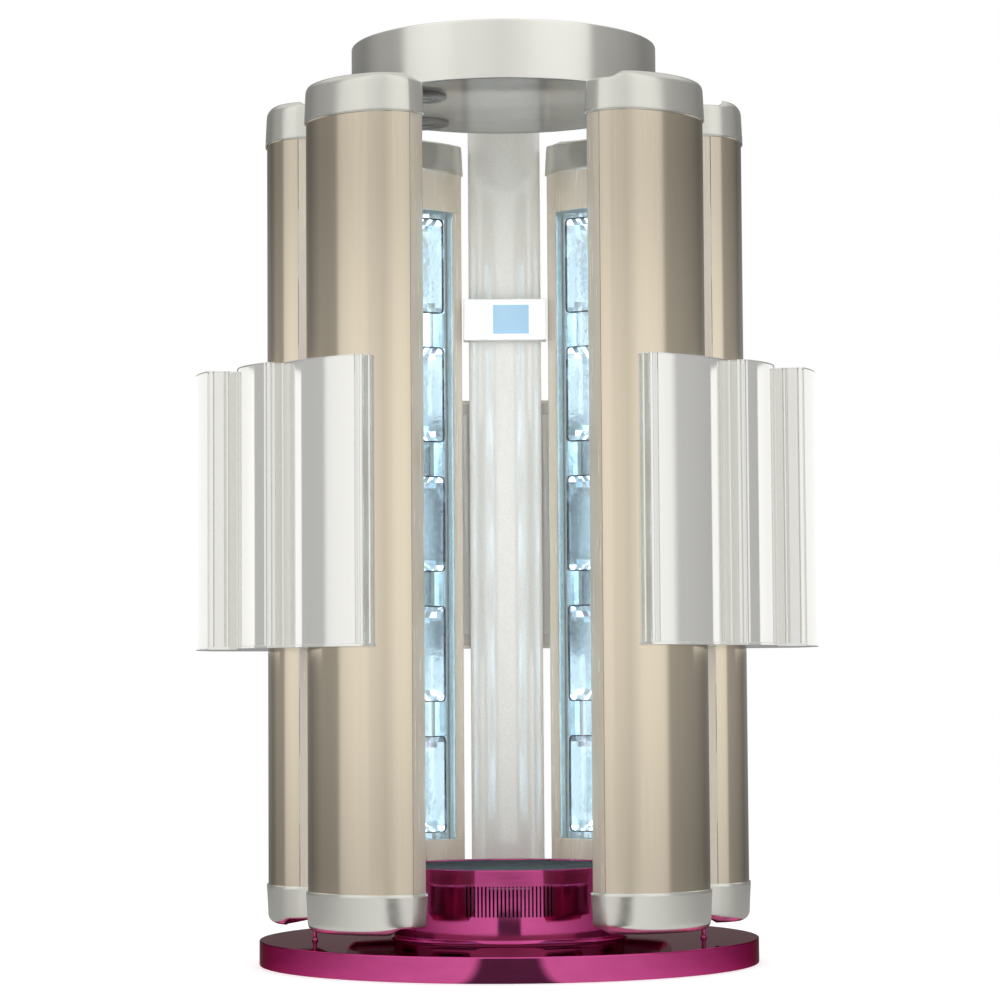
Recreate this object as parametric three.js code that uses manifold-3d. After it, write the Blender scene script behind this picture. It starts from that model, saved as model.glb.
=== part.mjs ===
// Vertical tanning booth: six floating lamp columns in two halves that swing on a rear mast,
// over a round base with a pedestal, under a canopy carried by the mast.
// Millimetres, +Z up, the entrance faces -Y. The origin is the middle of the base on the floor.
import * as THREE from 'three';
import { mergeVertices } from 'three/addons/utils/BufferGeometryUtils.js';
import { ConvexGeometry } from 'three/addons/geometries/ConvexGeometry.js';
import Module from 'manifold-3d';

const wasm = await Module();
wasm.setup();

// Fits
const SEAT_GAP = 0.3; // between pieces that are fastened together or carry each other
const TURN_GAP = 1; // round a disc that turns in a hole

// Column section, seen from above: crown arc outside, two shoulder arcs, flat sides, bowed lamp face
const COLUMN_INNER_RADIUS = 476; // from the booth's axis to the inner edges of a column
const COLUMN_WIDTH = 346;
const COLUMN_SIDE_DEPTH = 47; // flat side between the lamp face and the shell
const CROWN_RADIUS = 270;
const CROWN_HALF_ANGLE = 22;
const SHOULDER_END_ANGLE = 78; // where the shell ends, from the column's middle line
const LAMP_FACE_BOW = 36; // how far the lamp face bows towards the booth's axis
const SHELL_WALL = 4;
const SHELL_JOINT = 4; // open joint between the shell and the lamp frame
const FRAME_WALL = 4;

// Column heights
const COLUMN_FLOAT = 39; // clear space between the base and a bottom cap
const CAP_HEIGHT = 102;
const SHELL_HEIGHT = 1933; // the shell that shows between the caps
const CAP_LAP = 14; // shell inside a cap
const CAP_WALL = 4;
const CAP_STEP = 17; // the cap's inner part is this much lower than its crown
const CAP_STEP_OFFSET = 53; // from the column's inner edges to that step, on its middle line
const CAP_STEP_ANGLE = 11; // the step runs askew across the column
const CAP_CROWN_EDGE = 20; // rounding of the crown part
const CAP_INNER_EDGE = 6; // rounding of the lower part
const CAP_POCKET_MARGIN = 30; // material round the pocket inside a cap
const CAP_POCKET_DEPTH = 92; // pocket from front to back

// Lamp side of a column
const LIP_WIDTH = 40; // frame beside the glass
const HEADER_HEIGHT = 108; // frame above the glass
const FOOTER_HEIGHT = 94; // frame below the glass
const GLASS_THICKNESS = 5;
const GLASS_LAP = 12; // glass behind the frame
const MODULE_COUNT = 5;
const MODULE_SPACING = 358;
const REFLECTOR_SETBACK = 8; // from the column's inner edges back to the reflector sheet
const REFLECTOR_SHEET = 2;
const REFLECTOR_LAP = 24; // reflector sheet past the window, above and below
const BOWL_MOUTH_WIDTH = 220;
const BOWL_MOUTH_HEIGHT = 260;
const BOWL_BACK_WIDTH = 110;
const BOWL_BACK_HEIGHT = 170;
const BOWL_DEPTH = 56;
const BURNER_RADIUS = 8;
const BURNER_SPAN = 120; // between the two holders of a burner
const BURNER_DEPTH = 26; // burner axis behind the mouth of its bowl
const HOLDER_WIDTH = 18;
const HOLDER_THICKNESS = 8;
const HOLDER_CLEARANCE = 2; // slot in the bowl round its two holders
const RAIL_WIDTH = 44;
const RAIL_THICKNESS = 4;

// Where the columns stand round the booth's axis
const COLUMN_PITCH_ANGLE = 51.5; // between neighbours of one half
const COLUMN_LEAD_ANGLE = 5.1; // the middle column lies this much behind the booth's widest line

// Base and pedestal
const BASE_MARGIN = 19.2; // base edge beyond the columns' crowns
const BASE_HEIGHT = 64;
const BASE_SKIN = 5;
const BASE_FLANGE = 90; // ring that rests on the floor
const BASE_HUB_RADIUS = 70; // middle foot that rests on the floor
const BASE_EDGE = 3;
const DRUM_RADIUS = 298;
const DRUM_HEIGHT = 188;
const DRUM_WALL = 4;
const DRUM_FLARE = 8; // foot of the drum, outwards
const DRUM_FLARE_HEIGHT = 12;
const DRUM_RIM = 12; // ring round the tread plate
const TREAD_THICKNESS = 12;
const TREAD_DROP = 3; // tread plate below the rim
const LEDGE_WIDTH = 16; // ring under the tread plate
const LEDGE_THICKNESS = 5;
const VENT_COUNT = 23;
const VENT_SPACING = 9.9;
const VENT_SLOT_WIDTH = 4.4;
const VENT_SLOT_HEIGHT = 77;
const VENT_SLOT_RISE = 70; // from the base up to the slots

// Blower inside the pedestal
const MOTOR_RADIUS = 52;
const MOTOR_HEIGHT = 50;
const MOTOR_FOOT_RADIUS = 66;
const MOTOR_FOOT_HEIGHT = 8;
const SHAFT_RADIUS = 8;
const WHEEL_RADIUS = 170;
const WHEEL_PLATE = 4;
const WHEEL_HEIGHT = 70;
const WHEEL_HUB_RADIUS = 24;
const WHEEL_EYE_RADIUS = 105; // air inlet of the wheel
const BLADE_COUNT = 11;
const BLADE_LENGTH = 74;
const BLADE_THICKNESS = 3;
const BLADE_SWEEP_ANGLE = 38; // backward lean of the blades

// Canopy
const CANOPY_RADIUS = 401;
const CANOPY_HEIGHT = 150;
const CANOPY_LIFT = 2; // canopy underside above the top caps
const CANOPY_WALL = 4;
const CANOPY_EDGE = 3;
const SOFFIT_THICKNESS = 5;
const NOZZLE_NECK_RADIUS = 58;
const NOZZLE_FLANGE = 16; // flange beyond the neck
const NOZZLE_FLANGE_THICKNESS = 12;
const NOZZLE_EDGE = 4;
const NOZZLE_NECK_RISE = 8; // neck above the soffit
const NOZZLE_SLOT_LENGTH = 70;
const NOZZLE_SLOT_WIDTH = 12;
const NOZZLE_SLOT_DEPTH = 8;
const NOZZLE_X = -222;
const FRONT_NOZZLE_Y = -168;
const REAR_NOZZLE_Y = 212;

// Mast
const MAST_SIDE_GAP = 17; // between the mast and the rear columns
const MAST_SETBACK = 9; // mast front behind the rear columns' inner edges
const MAST_DEPTH = 120;
const MAST_BOW = 20; // how far the mast's front bows forward at its middle
const MAST_WALL = 4;
const MAST_EDGE = 8;
const MAST_TOP_DROP = 8; // mast top below the canopy top
const ARM_WIDTH = 120; // arm between mast and canopy
const ARM_BOTTOM_RISE = 30; // above the canopy underside
const ARM_TOP_DROP = 20; // below the canopy top
const ARM_ROOT = 20; // arm inside the mast

// Control panel on the mast, its back hollowed to the mast's bow
const PANEL_SIDE_GAP = 2; // to the rear columns' inner edges
const PANEL_DEPTH = 40;
const PANEL_HEIGHT = 115;
const PANEL_RISE = 1675; // lower edge above the floor
const PANEL_EDGE = 5;
const DISPLAY_WIDTH = 100;
const DISPLAY_HEIGHT = 81;
const DISPLAY_DEPTH = 3;
const DISPLAY_SHIFT = 17; // to the right of the middle

// Waist housing of each half
const COVER_BOTTOM = 812;
const COVER_HEIGHT = 717;
const COVER_SKIN = 4;
const COVER_PLATE = 7; // top and bottom plates
const COVER_PLATE_DEPTH = 73; // plates reach this far inside the columns' crowns
const COVER_NOSE_ANGLE = 237.6;
const COVER_NOSE_TURN_ANGLE = 1.2; // the nose wall leans forward by this at its foot
const COVER_NOSE_EDGE = 10;
const FRONT_LOBE_STANDOFF = 35; // skin beyond the columns' crowns
const FRONT_LOBE_RISE = 11; // extra standoff at the middle of the lobe
const FRONT_LOBE_END_ANGLE = 212.2;
const SIDE_LOBE_STANDOFF = 80;
const SIDE_LOBE_RISE = 19;
const SIDE_LOBE_END_ANGLE = 192.2;
const OUTER_LOBE_STANDOFF = 158;
const OUTER_LOBE_RISE = 26;
const OUTER_LOBE_END_ANGLE = 170;
const REAR_STANDOFF = 42;
const REAR_START_ANGLE = 163;
const REAR_END_ANGLE = 111;

// Waist frame that carries the columns of a half, and its hinge
const FRAME_DEPTH = 24; // from the crowns to the back of the frame
const FRAME_WEB = 6;
const FRAME_FLANGE = 12;
const FRAME_FRONT_ANGLE = 231;
const FRAME_ROOT_ANGLE = 111; // the frame is solid from here to the hinge
const HINGE_REACH = 58; // hinge axis from the mast's side
const HINGE_SETBACK = 100; // hinge axis behind the mast's front
const KNUCKLE_RADIUS = 22;
const PIN_RADIUS = 11;
const PIN_HEAD_RADIUS = 17;
const PIN_HEAD_HEIGHT = 8;
const PIN_TAIL = 6; // pin below the lower lug
const LUG_THICKNESS = 30;
const LUG_INSET = 20; // from the ends of the waist housing to the lugs
const FIN_THICKNESS = 12;
const FIN_INSET = 10; // from the ends of the waist housing to the fin
const FIN_CLEARANCE = 8; // from the fin's edge to the knuckles

// Smoothness of round shapes
const ARC_STEPS = 2; // pairs of facets on each arc of an outline
const LOBE_STEPS = 6;
const CROWN_EDGE_STEPS = 2; // facets on the rounded edge of a cap's crown part
const INNER_EDGE_STEPS = 1; // facets on the edge of its lower part
const RING_SIDES = 48;
const DISC_SIDES = 20;
const ROD_SIDES = 12;
const BURNER_SIDES = 6;
const FACE_STEP_ANGLE = 8; // degrees for each facet of a lamp face
const SECTOR_STEP_ANGLE = 5; // degrees for each facet of a sector
const CUT_PAST = 10; // how far a cutting body runs past what it cuts
const WELD = 1e-4; // points closer than this are one corner

// Sizes that follow from the ones above
const rad = THREE.MathUtils.degToRad;
const deg = THREE.MathUtils.radToDeg;
const halfWidth = COLUMN_WIDTH / 2;
const crownHalf = rad(CROWN_HALF_ANGLE);
const shoulderEnd = rad(SHOULDER_END_ANGLE);
const shoulderSpan = Math.sin(shoulderEnd) - Math.sin(crownHalf);
const shoulderRadius = (halfWidth - CROWN_RADIUS * Math.sin(crownHalf)) / shoulderSpan;
const cornerRadius = COLUMN_INNER_RADIUS + COLUMN_SIDE_DEPTH;
const shoulderRise = shoulderRadius * (Math.cos(crownHalf) - Math.cos(shoulderEnd));
const columnCrown = cornerRadius + shoulderRise + CROWN_RADIUS * (1 - Math.cos(crownHalf));
const crownCentre = columnCrown - CROWN_RADIUS;
const shoulderX = crownCentre + (CROWN_RADIUS - shoulderRadius) * Math.cos(crownHalf);
const shoulderY = (CROWN_RADIUS - shoulderRadius) * Math.sin(crownHalf);
const bowRadius = (halfWidth * halfWidth + LAMP_FACE_BOW * LAMP_FACE_BOW) / (2 * LAMP_FACE_BOW);
const bowCentre = COLUMN_INNER_RADIUS - LAMP_FACE_BOW + bowRadius;

const columnBottom = BASE_HEIGHT + COLUMN_FLOAT;
const shellBottom = columnBottom + CAP_HEIGHT;
const shellTop = shellBottom + SHELL_HEIGHT;
const columnTop = shellTop + CAP_HEIGHT;
const windowBottom = shellBottom + FOOTER_HEIGHT;
const windowTop = shellTop - HEADER_HEIGHT;
const windowHalf = halfWidth - LIP_WIDTH;
const moduleMiddle = (windowBottom + windowTop) / 2;
const reflectorFront = COLUMN_INNER_RADIUS + REFLECTOR_SETBACK;
const burnerX = reflectorFront + BURNER_DEPTH;
const bowlBack = reflectorFront + BOWL_DEPTH;
const railFront = bowlBack + REFLECTOR_SHEET + SEAT_GAP;

const baseRadius = columnCrown + BASE_MARGIN;
const drumTop = BASE_HEIGHT + DRUM_HEIGHT;
const treadBottom = drumTop - TREAD_DROP - TREAD_THICKNESS;
const treadRadius = DRUM_RADIUS - DRUM_RIM - SEAT_GAP;

const canopyBottom = columnTop + CANOPY_LIFT;
const canopyTop = canopyBottom + CANOPY_HEIGHT;

const rearAngle = rad(180 - COLUMN_LEAD_ANGLE - COLUMN_PITCH_ANGLE);
const rearGapHalf = -COLUMN_INNER_RADIUS * Math.cos(rearAngle) - halfWidth * Math.sin(rearAngle);
const rearEdgeY = COLUMN_INNER_RADIUS * Math.sin(rearAngle) - halfWidth * Math.cos(rearAngle);
const mastHalf = rearGapHalf - MAST_SIDE_GAP;
const mastFront = rearEdgeY + MAST_SETBACK;
const mastBack = mastFront + MAST_DEPTH;
const mastBowRadius = (mastHalf * mastHalf + MAST_BOW * MAST_BOW) / (2 * MAST_BOW);
const mastTop = canopyTop - MAST_TOP_DROP;
const panelHalf = rearGapHalf - PANEL_SIDE_GAP;

const coverTop = COVER_BOTTOM + COVER_HEIGHT;
const hingeX = mastHalf + HINGE_REACH;
const hingeY = mastFront + HINGE_SETBACK;
const hingeAngle = 180 - deg(Math.atan2(hingeY, hingeX));
const lugBottom = COVER_BOTTOM + LUG_INSET;
const lugTop = coverTop - LUG_INSET;
const knuckleBottom = lugBottom + LUG_THICKNESS + SEAT_GAP;
const knuckleTop = lugTop - LUG_THICKNESS - SEAT_GAP;
const frameOuter = columnCrown + FRAME_DEPTH;
const boreRadius = (PIN_RADIUS + SEAT_GAP) / Math.cos(Math.PI / ROD_SIDES); // its flats clear the pin

// Finishes; each mesh gets a material of its own
const finish = (color, roughness, metalness) => () =>
  new THREE.MeshStandardMaterial({ color, roughness, metalness });
const champagne = finish(0xbfae92, 0.28, 0.9);
const capSilver = finish(0xc8c8c0, 0.38, 0.35);
const brightAlloy = finish(0xe6e5df, 0.2, 0.75);
const magentaChrome = finish(0x9a2a6b, 0.1, 0.95);
const satinGrey = finish(0xd0d0c8, 0.4, 0.4);
const glossGrey = finish(0x8d8f90, 0.15, 0.3);
const whitePlastic = finish(0xf2f2f0, 0.3, 0);
const blueDisplay = finish(0xa5d2eb, 0.15, 0);
const darkTread = finish(0x323c41, 0.35, 0.1);
const darkMetal = finish(0x3a3d40, 0.5, 0.6);
const steel = finish(0xb0b3b5, 0.3, 0.9);
const mirrorSheet = finish(0xe8eef2, 0.08, 1);
const lampQuartz = finish(0xe4f0f7, 0.12, 0);

function blueGlass() {
  const look = { color: 0xaad2eb, roughness: 0.06, metalness: 0, transparent: true, opacity: 0.45 };
  return new THREE.MeshStandardMaterial(look);
}

// Solids: joined and cut bodies
function solidOf(geometry) {
  const bare = geometry.clone();
  bare.deleteAttribute('normal');
  bare.deleteAttribute('uv');
  const merged = mergeVertices(bare, WELD);
  const corners = merged.index.array;
  const triangles = [];
  for (let i = 0; i < corners.length; i += 3) {
    const [a, b, c] = [corners[i], corners[i + 1], corners[i + 2]];
    const flat = a === b || b === c || c === a;
    if (!flat) triangles.push(a, b, c);
  }
  const vertProperties = new Float32Array(merged.attributes.position.array);
  const triVerts = new Uint32Array(triangles);
  return new wasm.Manifold(new wasm.Mesh({ numProp: 3, vertProperties, triVerts }));
}

function geometryOf(solid) {
  const mesh = solid.getMesh();
  const geometry = new THREE.BufferGeometry();
  geometry.setAttribute('position', new THREE.BufferAttribute(new Float32Array(mesh.vertProperties), 3));
  geometry.setIndex(new THREE.BufferAttribute(new Uint32Array(mesh.triVerts), 1));
  geometry.computeVertexNormals();
  return geometry;
}

const join = (body, ...others) => others.reduce((sum, other) => sum.add(other), body);
const cut = (body, ...tools) => tools.reduce((rest, tool) => rest.subtract(tool), body);

// Simple bodies
function block(x0, x1, y0, y1, z0, z1) {
  const geometry = new THREE.BoxGeometry(x1 - x0, y1 - y0, z1 - z0);
  geometry.translate((x0 + x1) / 2, (y0 + y1) / 2, (z0 + z1) / 2);
  return solidOf(geometry);
}

function prism(shape, z0, z1) {
  const options = { depth: z1 - z0, bevelEnabled: false, curveSegments: ARC_STEPS };
  const geometry = new THREE.ExtrudeGeometry(shape, options);
  geometry.translate(0, 0, z0);
  return solidOf(geometry);
}

// A body over an outline without hollows, with its top edge rounded; outline(inset) gives the shape
function roundedBody(outline, z0, z1, edge, steps) {
  const layers = [[0, z0]];
  for (let i = 0; i <= steps; i += 1) {
    const turn = (Math.PI / 2) * (i / steps);
    layers.push([edge * (1 - Math.cos(turn)), z1 - edge * (1 - Math.sin(turn))]);
  }
  const points = layers.flatMap(([inset, z]) =>
    outline(inset).getPoints(ARC_STEPS).map((point) => new THREE.Vector3(point.x, point.y, z)));
  return solidOf(new ConvexGeometry(points));
}

function turned(profile, sides) {
  const points = profile.map(([radius, z]) => new THREE.Vector2(radius, z));
  const geometry = new THREE.LatheGeometry(points, sides);
  geometry.rotateX(Math.PI / 2);
  return solidOf(geometry);
}

function rod(x, y, radius, z0, z1, sides) {
  const geometry = new THREE.CylinderGeometry(radius, radius, z1 - z0, sides);
  geometry.rotateX(Math.PI / 2);
  geometry.translate(x, y, (z0 + z1) / 2);
  return solidOf(geometry);
}

// A rectangle in the XY plane with rounded corners
function roundedRectangle(x0, x1, y0, y1, edge) {
  const shape = new THREE.Shape();
  shape.absarc(x1 - edge, y0 + edge, edge, -Math.PI / 2, 0, false);
  shape.absarc(x1 - edge, y1 - edge, edge, 0, Math.PI / 2, false);
  shape.absarc(x0 + edge, y1 - edge, edge, Math.PI / 2, Math.PI, false);
  shape.absarc(x0 + edge, y0 + edge, edge, Math.PI, 1.5 * Math.PI, false);
  return shape;
}

// A point at an angle round the booth's axis; side 1 is the left half, -1 its mirror image
function polar(angle, radius, side) {
  return new THREE.Vector2(side * radius * Math.cos(rad(angle)), radius * Math.sin(rad(angle)));
}

function sectorShape(inner, outer, from, to, side) {
  const steps = Math.ceil((to - from) / SECTOR_STEP_ANGLE);
  const angles = Array.from({ length: steps + 1 }, (_, i) => from + ((to - from) * i) / steps);
  const outside = angles.map((angle) => polar(angle, outer, side));
  const inside = angles.reverse().map((angle) => polar(angle, inner, side));
  return new THREE.Shape([...outside, ...inside]);
}

// Column outlines, with X outwards along the column's middle line
function shellArcs(path, offset, end, backwards) {
  const shoulder = shoulderRadius + offset;
  const turn = backwards ? -1 : 1;
  path.absarc(shoulderX, -turn * shoulderY, shoulder, -turn * end, -turn * crownHalf, backwards);
  path.absarc(crownCentre, 0, CROWN_RADIUS + offset, -turn * crownHalf, turn * crownHalf, backwards);
  path.absarc(shoulderX, turn * shoulderY, shoulder, turn * crownHalf, turn * end, backwards);
}

// Corners of the bowed lamp face from +reach to -reach across it. Its facets keep their directions
// at every offset, so that faces at different offsets stay parallel.
function lampFacePoints(offset, reach) {
  const radius = bowRadius + offset;
  const corner = (k) => {
    const angle = rad(k * FACE_STEP_ANGLE);
    return new THREE.Vector2(bowCentre - radius * Math.cos(angle), radius * Math.sin(angle));
  };
  let last = 0;
  while (corner(last + 1).y < reach) last += 1;
  const [inside, outside] = [corner(last), corner(last + 1)];
  const end = inside.clone().lerp(outside, (reach - inside.y) / (outside.y - inside.y));
  const points = [end];
  for (let k = last; k >= -last; k -= 1) points.push(corner(k));
  points.push(new THREE.Vector2(end.x, -end.y));
  return points;
}

function lineThrough(path, points) {
  for (const point of points) path.lineTo(point.x, point.y);
}

// The whole outline, moved outwards by an offset; the shoulders run on to the moved flat sides
function columnShape(offset) {
  const end = Math.asin((halfWidth + offset - shoulderY) / (shoulderRadius + offset));
  const shape = new THREE.Shape();
  shellArcs(shape, offset, end, false);
  lineThrough(shape, lampFacePoints(offset, halfWidth + offset));
  return shape;
}

function shellGeometry() {
  const shape = new THREE.Shape();
  shellArcs(shape, 0, shoulderEnd, false);
  shellArcs(shape, -SHELL_WALL, shoulderEnd, true);
  return geometryOf(prism(shape, shellBottom - CAP_LAP, shellTop + CAP_LAP));
}

function lampFrameGeometry() {
  const back = cornerRadius - SHELL_JOINT;
  const shape = new THREE.Shape();
  shape.moveTo(back, halfWidth);
  lineThrough(shape, lampFacePoints(0, halfWidth));
  shape.lineTo(back, -halfWidth);
  shape.lineTo(back, -halfWidth + FRAME_WALL);
  lineThrough(shape, lampFacePoints(-FRAME_WALL, halfWidth - FRAME_WALL).reverse());
  shape.lineTo(back, halfWidth - FRAME_WALL);
  const body = prism(shape, shellBottom - CAP_LAP, shellTop + CAP_LAP);
  const front = COLUMN_INNER_RADIUS - LAMP_FACE_BOW - CUT_PAST;
  return geometryOf(cut(body, block(front, back, -windowHalf, windowHalf, windowBottom, windowTop)));
}

function filterGlassGeometry() {
  const front = -FRAME_WALL - SEAT_GAP;
  const reach = windowHalf + GLASS_LAP;
  const back = lampFacePoints(front - GLASS_THICKNESS, reach).reverse();
  const shape = new THREE.Shape([...lampFacePoints(front, reach), ...back]);
  return geometryOf(prism(shape, windowBottom - GLASS_LAP, windowTop + GLASS_LAP));
}

// Four-sided funnel between two rectangles that face the booth's axis
function funnel(z, x0, width0, height0, x1, width1, height1) {
  const corners = [];
  for (const [x, width, height] of [[x0, width0, height0], [x1, width1, height1]]) {
    for (const [across, up] of [[-1, -1], [1, -1], [1, 1], [-1, 1]]) {
      corners.push(new THREE.Vector3(x, (across * width) / 2, z + (up * height) / 2));
    }
  }
  return solidOf(new ConvexGeometry(corners));
}

const moduleHeights = Array.from({ length: MODULE_COUNT }, (_, i) => i - (MODULE_COUNT - 1) / 2)
  .map((place) => moduleMiddle + place * MODULE_SPACING);
const holderHeights = moduleHeights.flatMap((z) => [z - BURNER_SPAN / 2, z + BURNER_SPAN / 2]);

function reflectorGeometry() {
  const half = halfWidth - FRAME_WALL - SEAT_GAP;
  const bottom = windowBottom - REFLECTOR_LAP;
  const top = windowTop + REFLECTOR_LAP;
  const back = reflectorFront + REFLECTOR_SHEET;
  const wall = 2 * REFLECTOR_SHEET;
  const mouthWidth = BOWL_MOUTH_WIDTH + ((BOWL_MOUTH_WIDTH - BOWL_BACK_WIDTH) * CUT_PAST) / BOWL_DEPTH;
  const mouthHeight = BOWL_MOUTH_HEIGHT + ((BOWL_MOUTH_HEIGHT - BOWL_BACK_HEIGHT) * CUT_PAST) / BOWL_DEPTH;
  let body = block(reflectorFront, back, -half, half, bottom, top);
  for (const z of moduleHeights) {
    const outside = funnel(
      z,
      reflectorFront, BOWL_MOUTH_WIDTH + wall, BOWL_MOUTH_HEIGHT + wall,
      bowlBack + REFLECTOR_SHEET, BOWL_BACK_WIDTH + wall, BOWL_BACK_HEIGHT + wall,
    );
    body = join(body, outside);
  }
  for (const z of moduleHeights) {
    const inside = funnel(
      z,
      reflectorFront - CUT_PAST, mouthWidth, mouthHeight,
      bowlBack, BOWL_BACK_WIDTH, BOWL_BACK_HEIGHT,
    );
    body = cut(body, inside);
  }
  const slotY = HOLDER_WIDTH / 2 + HOLDER_CLEARANCE;
  const slotZ = (BURNER_SPAN + HOLDER_THICKNESS) / 2 + HOLDER_CLEARANCE;
  const slots = moduleHeights.map((z) =>
    block(bowlBack - CUT_PAST, bowlBack + CUT_PAST, -slotY, slotY, z - slotZ, z + slotZ));
  return geometryOf(cut(body, ...slots));
}

// Burners between their holders, on a rail behind the bowls
function lampRailGeometry() {
  const bottom = holderHeights[0] - RAIL_WIDTH;
  const top = holderHeights[holderHeights.length - 1] + RAIL_WIDTH;
  const rail = block(railFront, railFront + RAIL_THICKNESS, -RAIL_WIDTH / 2, RAIL_WIDTH / 2, bottom, top);
  const holders = holderHeights.map((z) => {
    const [low, high] = [z - HOLDER_THICKNESS / 2, z + HOLDER_THICKNESS / 2];
    const front = burnerX - BURNER_RADIUS;
    return block(front, railFront + RAIL_THICKNESS / 2, -HOLDER_WIDTH / 2, HOLDER_WIDTH / 2, low, high);
  });
  const burners = moduleHeights.map((z) =>
    rod(burnerX, 0, BURNER_RADIUS, z - BURNER_SPAN / 2, z + BURNER_SPAN / 2, BURNER_SIDES));
  return geometryOf(join(rail, ...holders, ...burners));
}

// The part of an outline beyond a cap's step, whose line moves outwards by an inset
function beyondStep(shape, inset) {
  const slope = Math.tan(rad(CAP_STEP_ANGLE));
  const start = COLUMN_INNER_RADIUS + CAP_STEP_OFFSET + inset / Math.cos(rad(CAP_STEP_ANGLE));
  const past = (point) => point.x + slope * point.y - start;
  const points = shape.getPoints(ARC_STEPS);
  const kept = points.flatMap((point, i) => {
    const next = points[(i + 1) % points.length];
    const [here, there] = [past(point), past(next)];
    const crossing = here * there < 0 ? [point.clone().lerp(next, here / (here - there))] : [];
    return here >= 0 ? [point, ...crossing] : crossing;
  });
  return new THREE.Shape(kept);
}

// A top cap, from its lower edge at z = 0; turned over it is a bottom cap.
function capGeometry() {
  const outside = SEAT_GAP + CAP_WALL;
  const innerOutline = (inset) => columnShape(outside - inset);
  const crownOutline = (inset) => beyondStep(columnShape(outside - inset), inset);
  const low = roundedBody(innerOutline, 0, CAP_HEIGHT - CAP_STEP, CAP_INNER_EDGE, INNER_EDGE_STEPS);
  const high = roundedBody(crownOutline, 0, CAP_HEIGHT, CAP_CROWN_EDGE, CROWN_EDGE_STEPS);
  const seat = prism(columnShape(SEAT_GAP), -CUT_PAST, CAP_LAP + SEAT_GAP);
  const pocketHalf = halfWidth - CAP_POCKET_MARGIN;
  const pocketBack = COLUMN_INNER_RADIUS + CAP_POCKET_DEPTH;
  const pocketTop = CAP_HEIGHT - CAP_STEP - CAP_WALL;
  const pocket = block(COLUMN_INNER_RADIUS, pocketBack, -pocketHalf, pocketHalf, 0, pocketTop);
  return geometryOf(cut(join(low, high), seat, pocket));
}

const columnParts = {
  shell: [shellGeometry(), champagne],
  lamp_frame: [lampFrameGeometry(), champagne],
  filter_glass: [filterGlassGeometry(), blueGlass],
  reflector: [reflectorGeometry(), mirrorSheet],
  lamp_rail: [lampRailGeometry(), lampQuartz],
};
const capShape = capGeometry();

function addMesh(group, name, geometry, material) {
  const mesh = new THREE.Mesh(geometry, material);
  mesh.name = name;
  group.add(mesh);
  return mesh;
}

function columnAngle(place, side) {
  const left = 180 - COLUMN_LEAD_ANGLE + place * COLUMN_PITCH_ANGLE;
  return rad(side > 0 ? left : 180 - left);
}

function column(name, place, side) {
  const group = new THREE.Group();
  group.rotation.z = columnAngle(place, side);
  for (const [part, [geometry, look]] of Object.entries(columnParts)) {
    addMesh(group, `${name}_${part}`, geometry, look());
  }
  const topCap = addMesh(group, `${name}_top_cap`, capShape, capSilver());
  topCap.position.z = shellTop;
  const bottomCap = addMesh(group, `${name}_bottom_cap`, capShape, capSilver());
  bottomCap.position.z = shellBottom;
  bottomCap.rotation.x = Math.PI;
  return group;
}

// Waist housing of a half: outer skin in three lobes, with plates above and below
function coverShape(inset, innerRadius, endAngle, side) {
  const shape = new THREE.Shape();
  const shift = deg(inset / columnCrown);
  const nose = COVER_NOSE_ANGLE - shift;
  const noseFoot = nose + COVER_NOSE_TURN_ANGLE;
  const frontEnd = FRONT_LOBE_END_ANGLE - shift;
  const sideEnd = SIDE_LOBE_END_ANGLE - shift;
  const to = (angle, radius) => {
    const point = polar(angle, radius, side);
    shape.lineTo(point.x, point.y);
  };
  const lobe = (from, until, standoff, rise) => {
    for (let i = 0; i <= LOBE_STEPS; i += 1) {
      const along = i / LOBE_STEPS;
      const radius = columnCrown + standoff + rise * Math.sin(Math.PI * along) - inset;
      to(from + (until - from) * along, radius);
    }
  };
  const start = polar(noseFoot, innerRadius, side);
  shape.moveTo(start.x, start.y);
  const noseRadius = columnCrown + FRONT_LOBE_STANDOFF - inset;
  const edge = COVER_NOSE_EDGE - inset;
  const lobeStart = nose - deg(edge / noseRadius);
  to(nose, noseRadius - edge);
  const corner = polar(nose, noseRadius, side);
  const next = polar(lobeStart, noseRadius, side);
  shape.quadraticCurveTo(corner.x, corner.y, next.x, next.y);
  lobe(lobeStart, frontEnd, FRONT_LOBE_STANDOFF, FRONT_LOBE_RISE);
  lobe(frontEnd, sideEnd, SIDE_LOBE_STANDOFF, SIDE_LOBE_RISE);
  lobe(sideEnd, OUTER_LOBE_END_ANGLE, OUTER_LOBE_STANDOFF, OUTER_LOBE_RISE);
  const rearSteps = Math.ceil((REAR_START_ANGLE - endAngle) / SECTOR_STEP_ANGLE);
  for (let i = 0; i <= rearSteps; i += 1) {
    const angle = REAR_START_ANGLE + ((endAngle - REAR_START_ANGLE) * i) / rearSteps;
    to(angle, columnCrown + REAR_STANDOFF - inset);
  }
  const innerSteps = Math.ceil((noseFoot - endAngle) / SECTOR_STEP_ANGLE);
  for (let i = 0; i < innerSteps; i += 1) {
    to(endAngle + ((noseFoot - endAngle) * i) / innerSteps, innerRadius);
  }
  return shape;
}

function coverGeometry(side) {
  const inner = columnCrown - COVER_PLATE_DEPTH;
  const body = prism(coverShape(0, inner, REAR_END_ANGLE, side), COVER_BOTTOM, coverTop);
  const roomShape = coverShape(COVER_SKIN, inner - CUT_PAST, REAR_END_ANGLE - SECTOR_STEP_ANGLE, side);
  const room = prism(roomShape, COVER_BOTTOM + COVER_PLATE, coverTop - COVER_PLATE);
  const past = [COVER_BOTTOM - CUT_PAST, coverTop + CUT_PAST];
  const columns = [1, 0, -1].map((place) =>
    prism(columnShape(SEAT_GAP), ...past).rotate(0, 0, deg(columnAngle(place, side))));
  return geometryOf(cut(body, room, ...columns));
}

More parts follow.
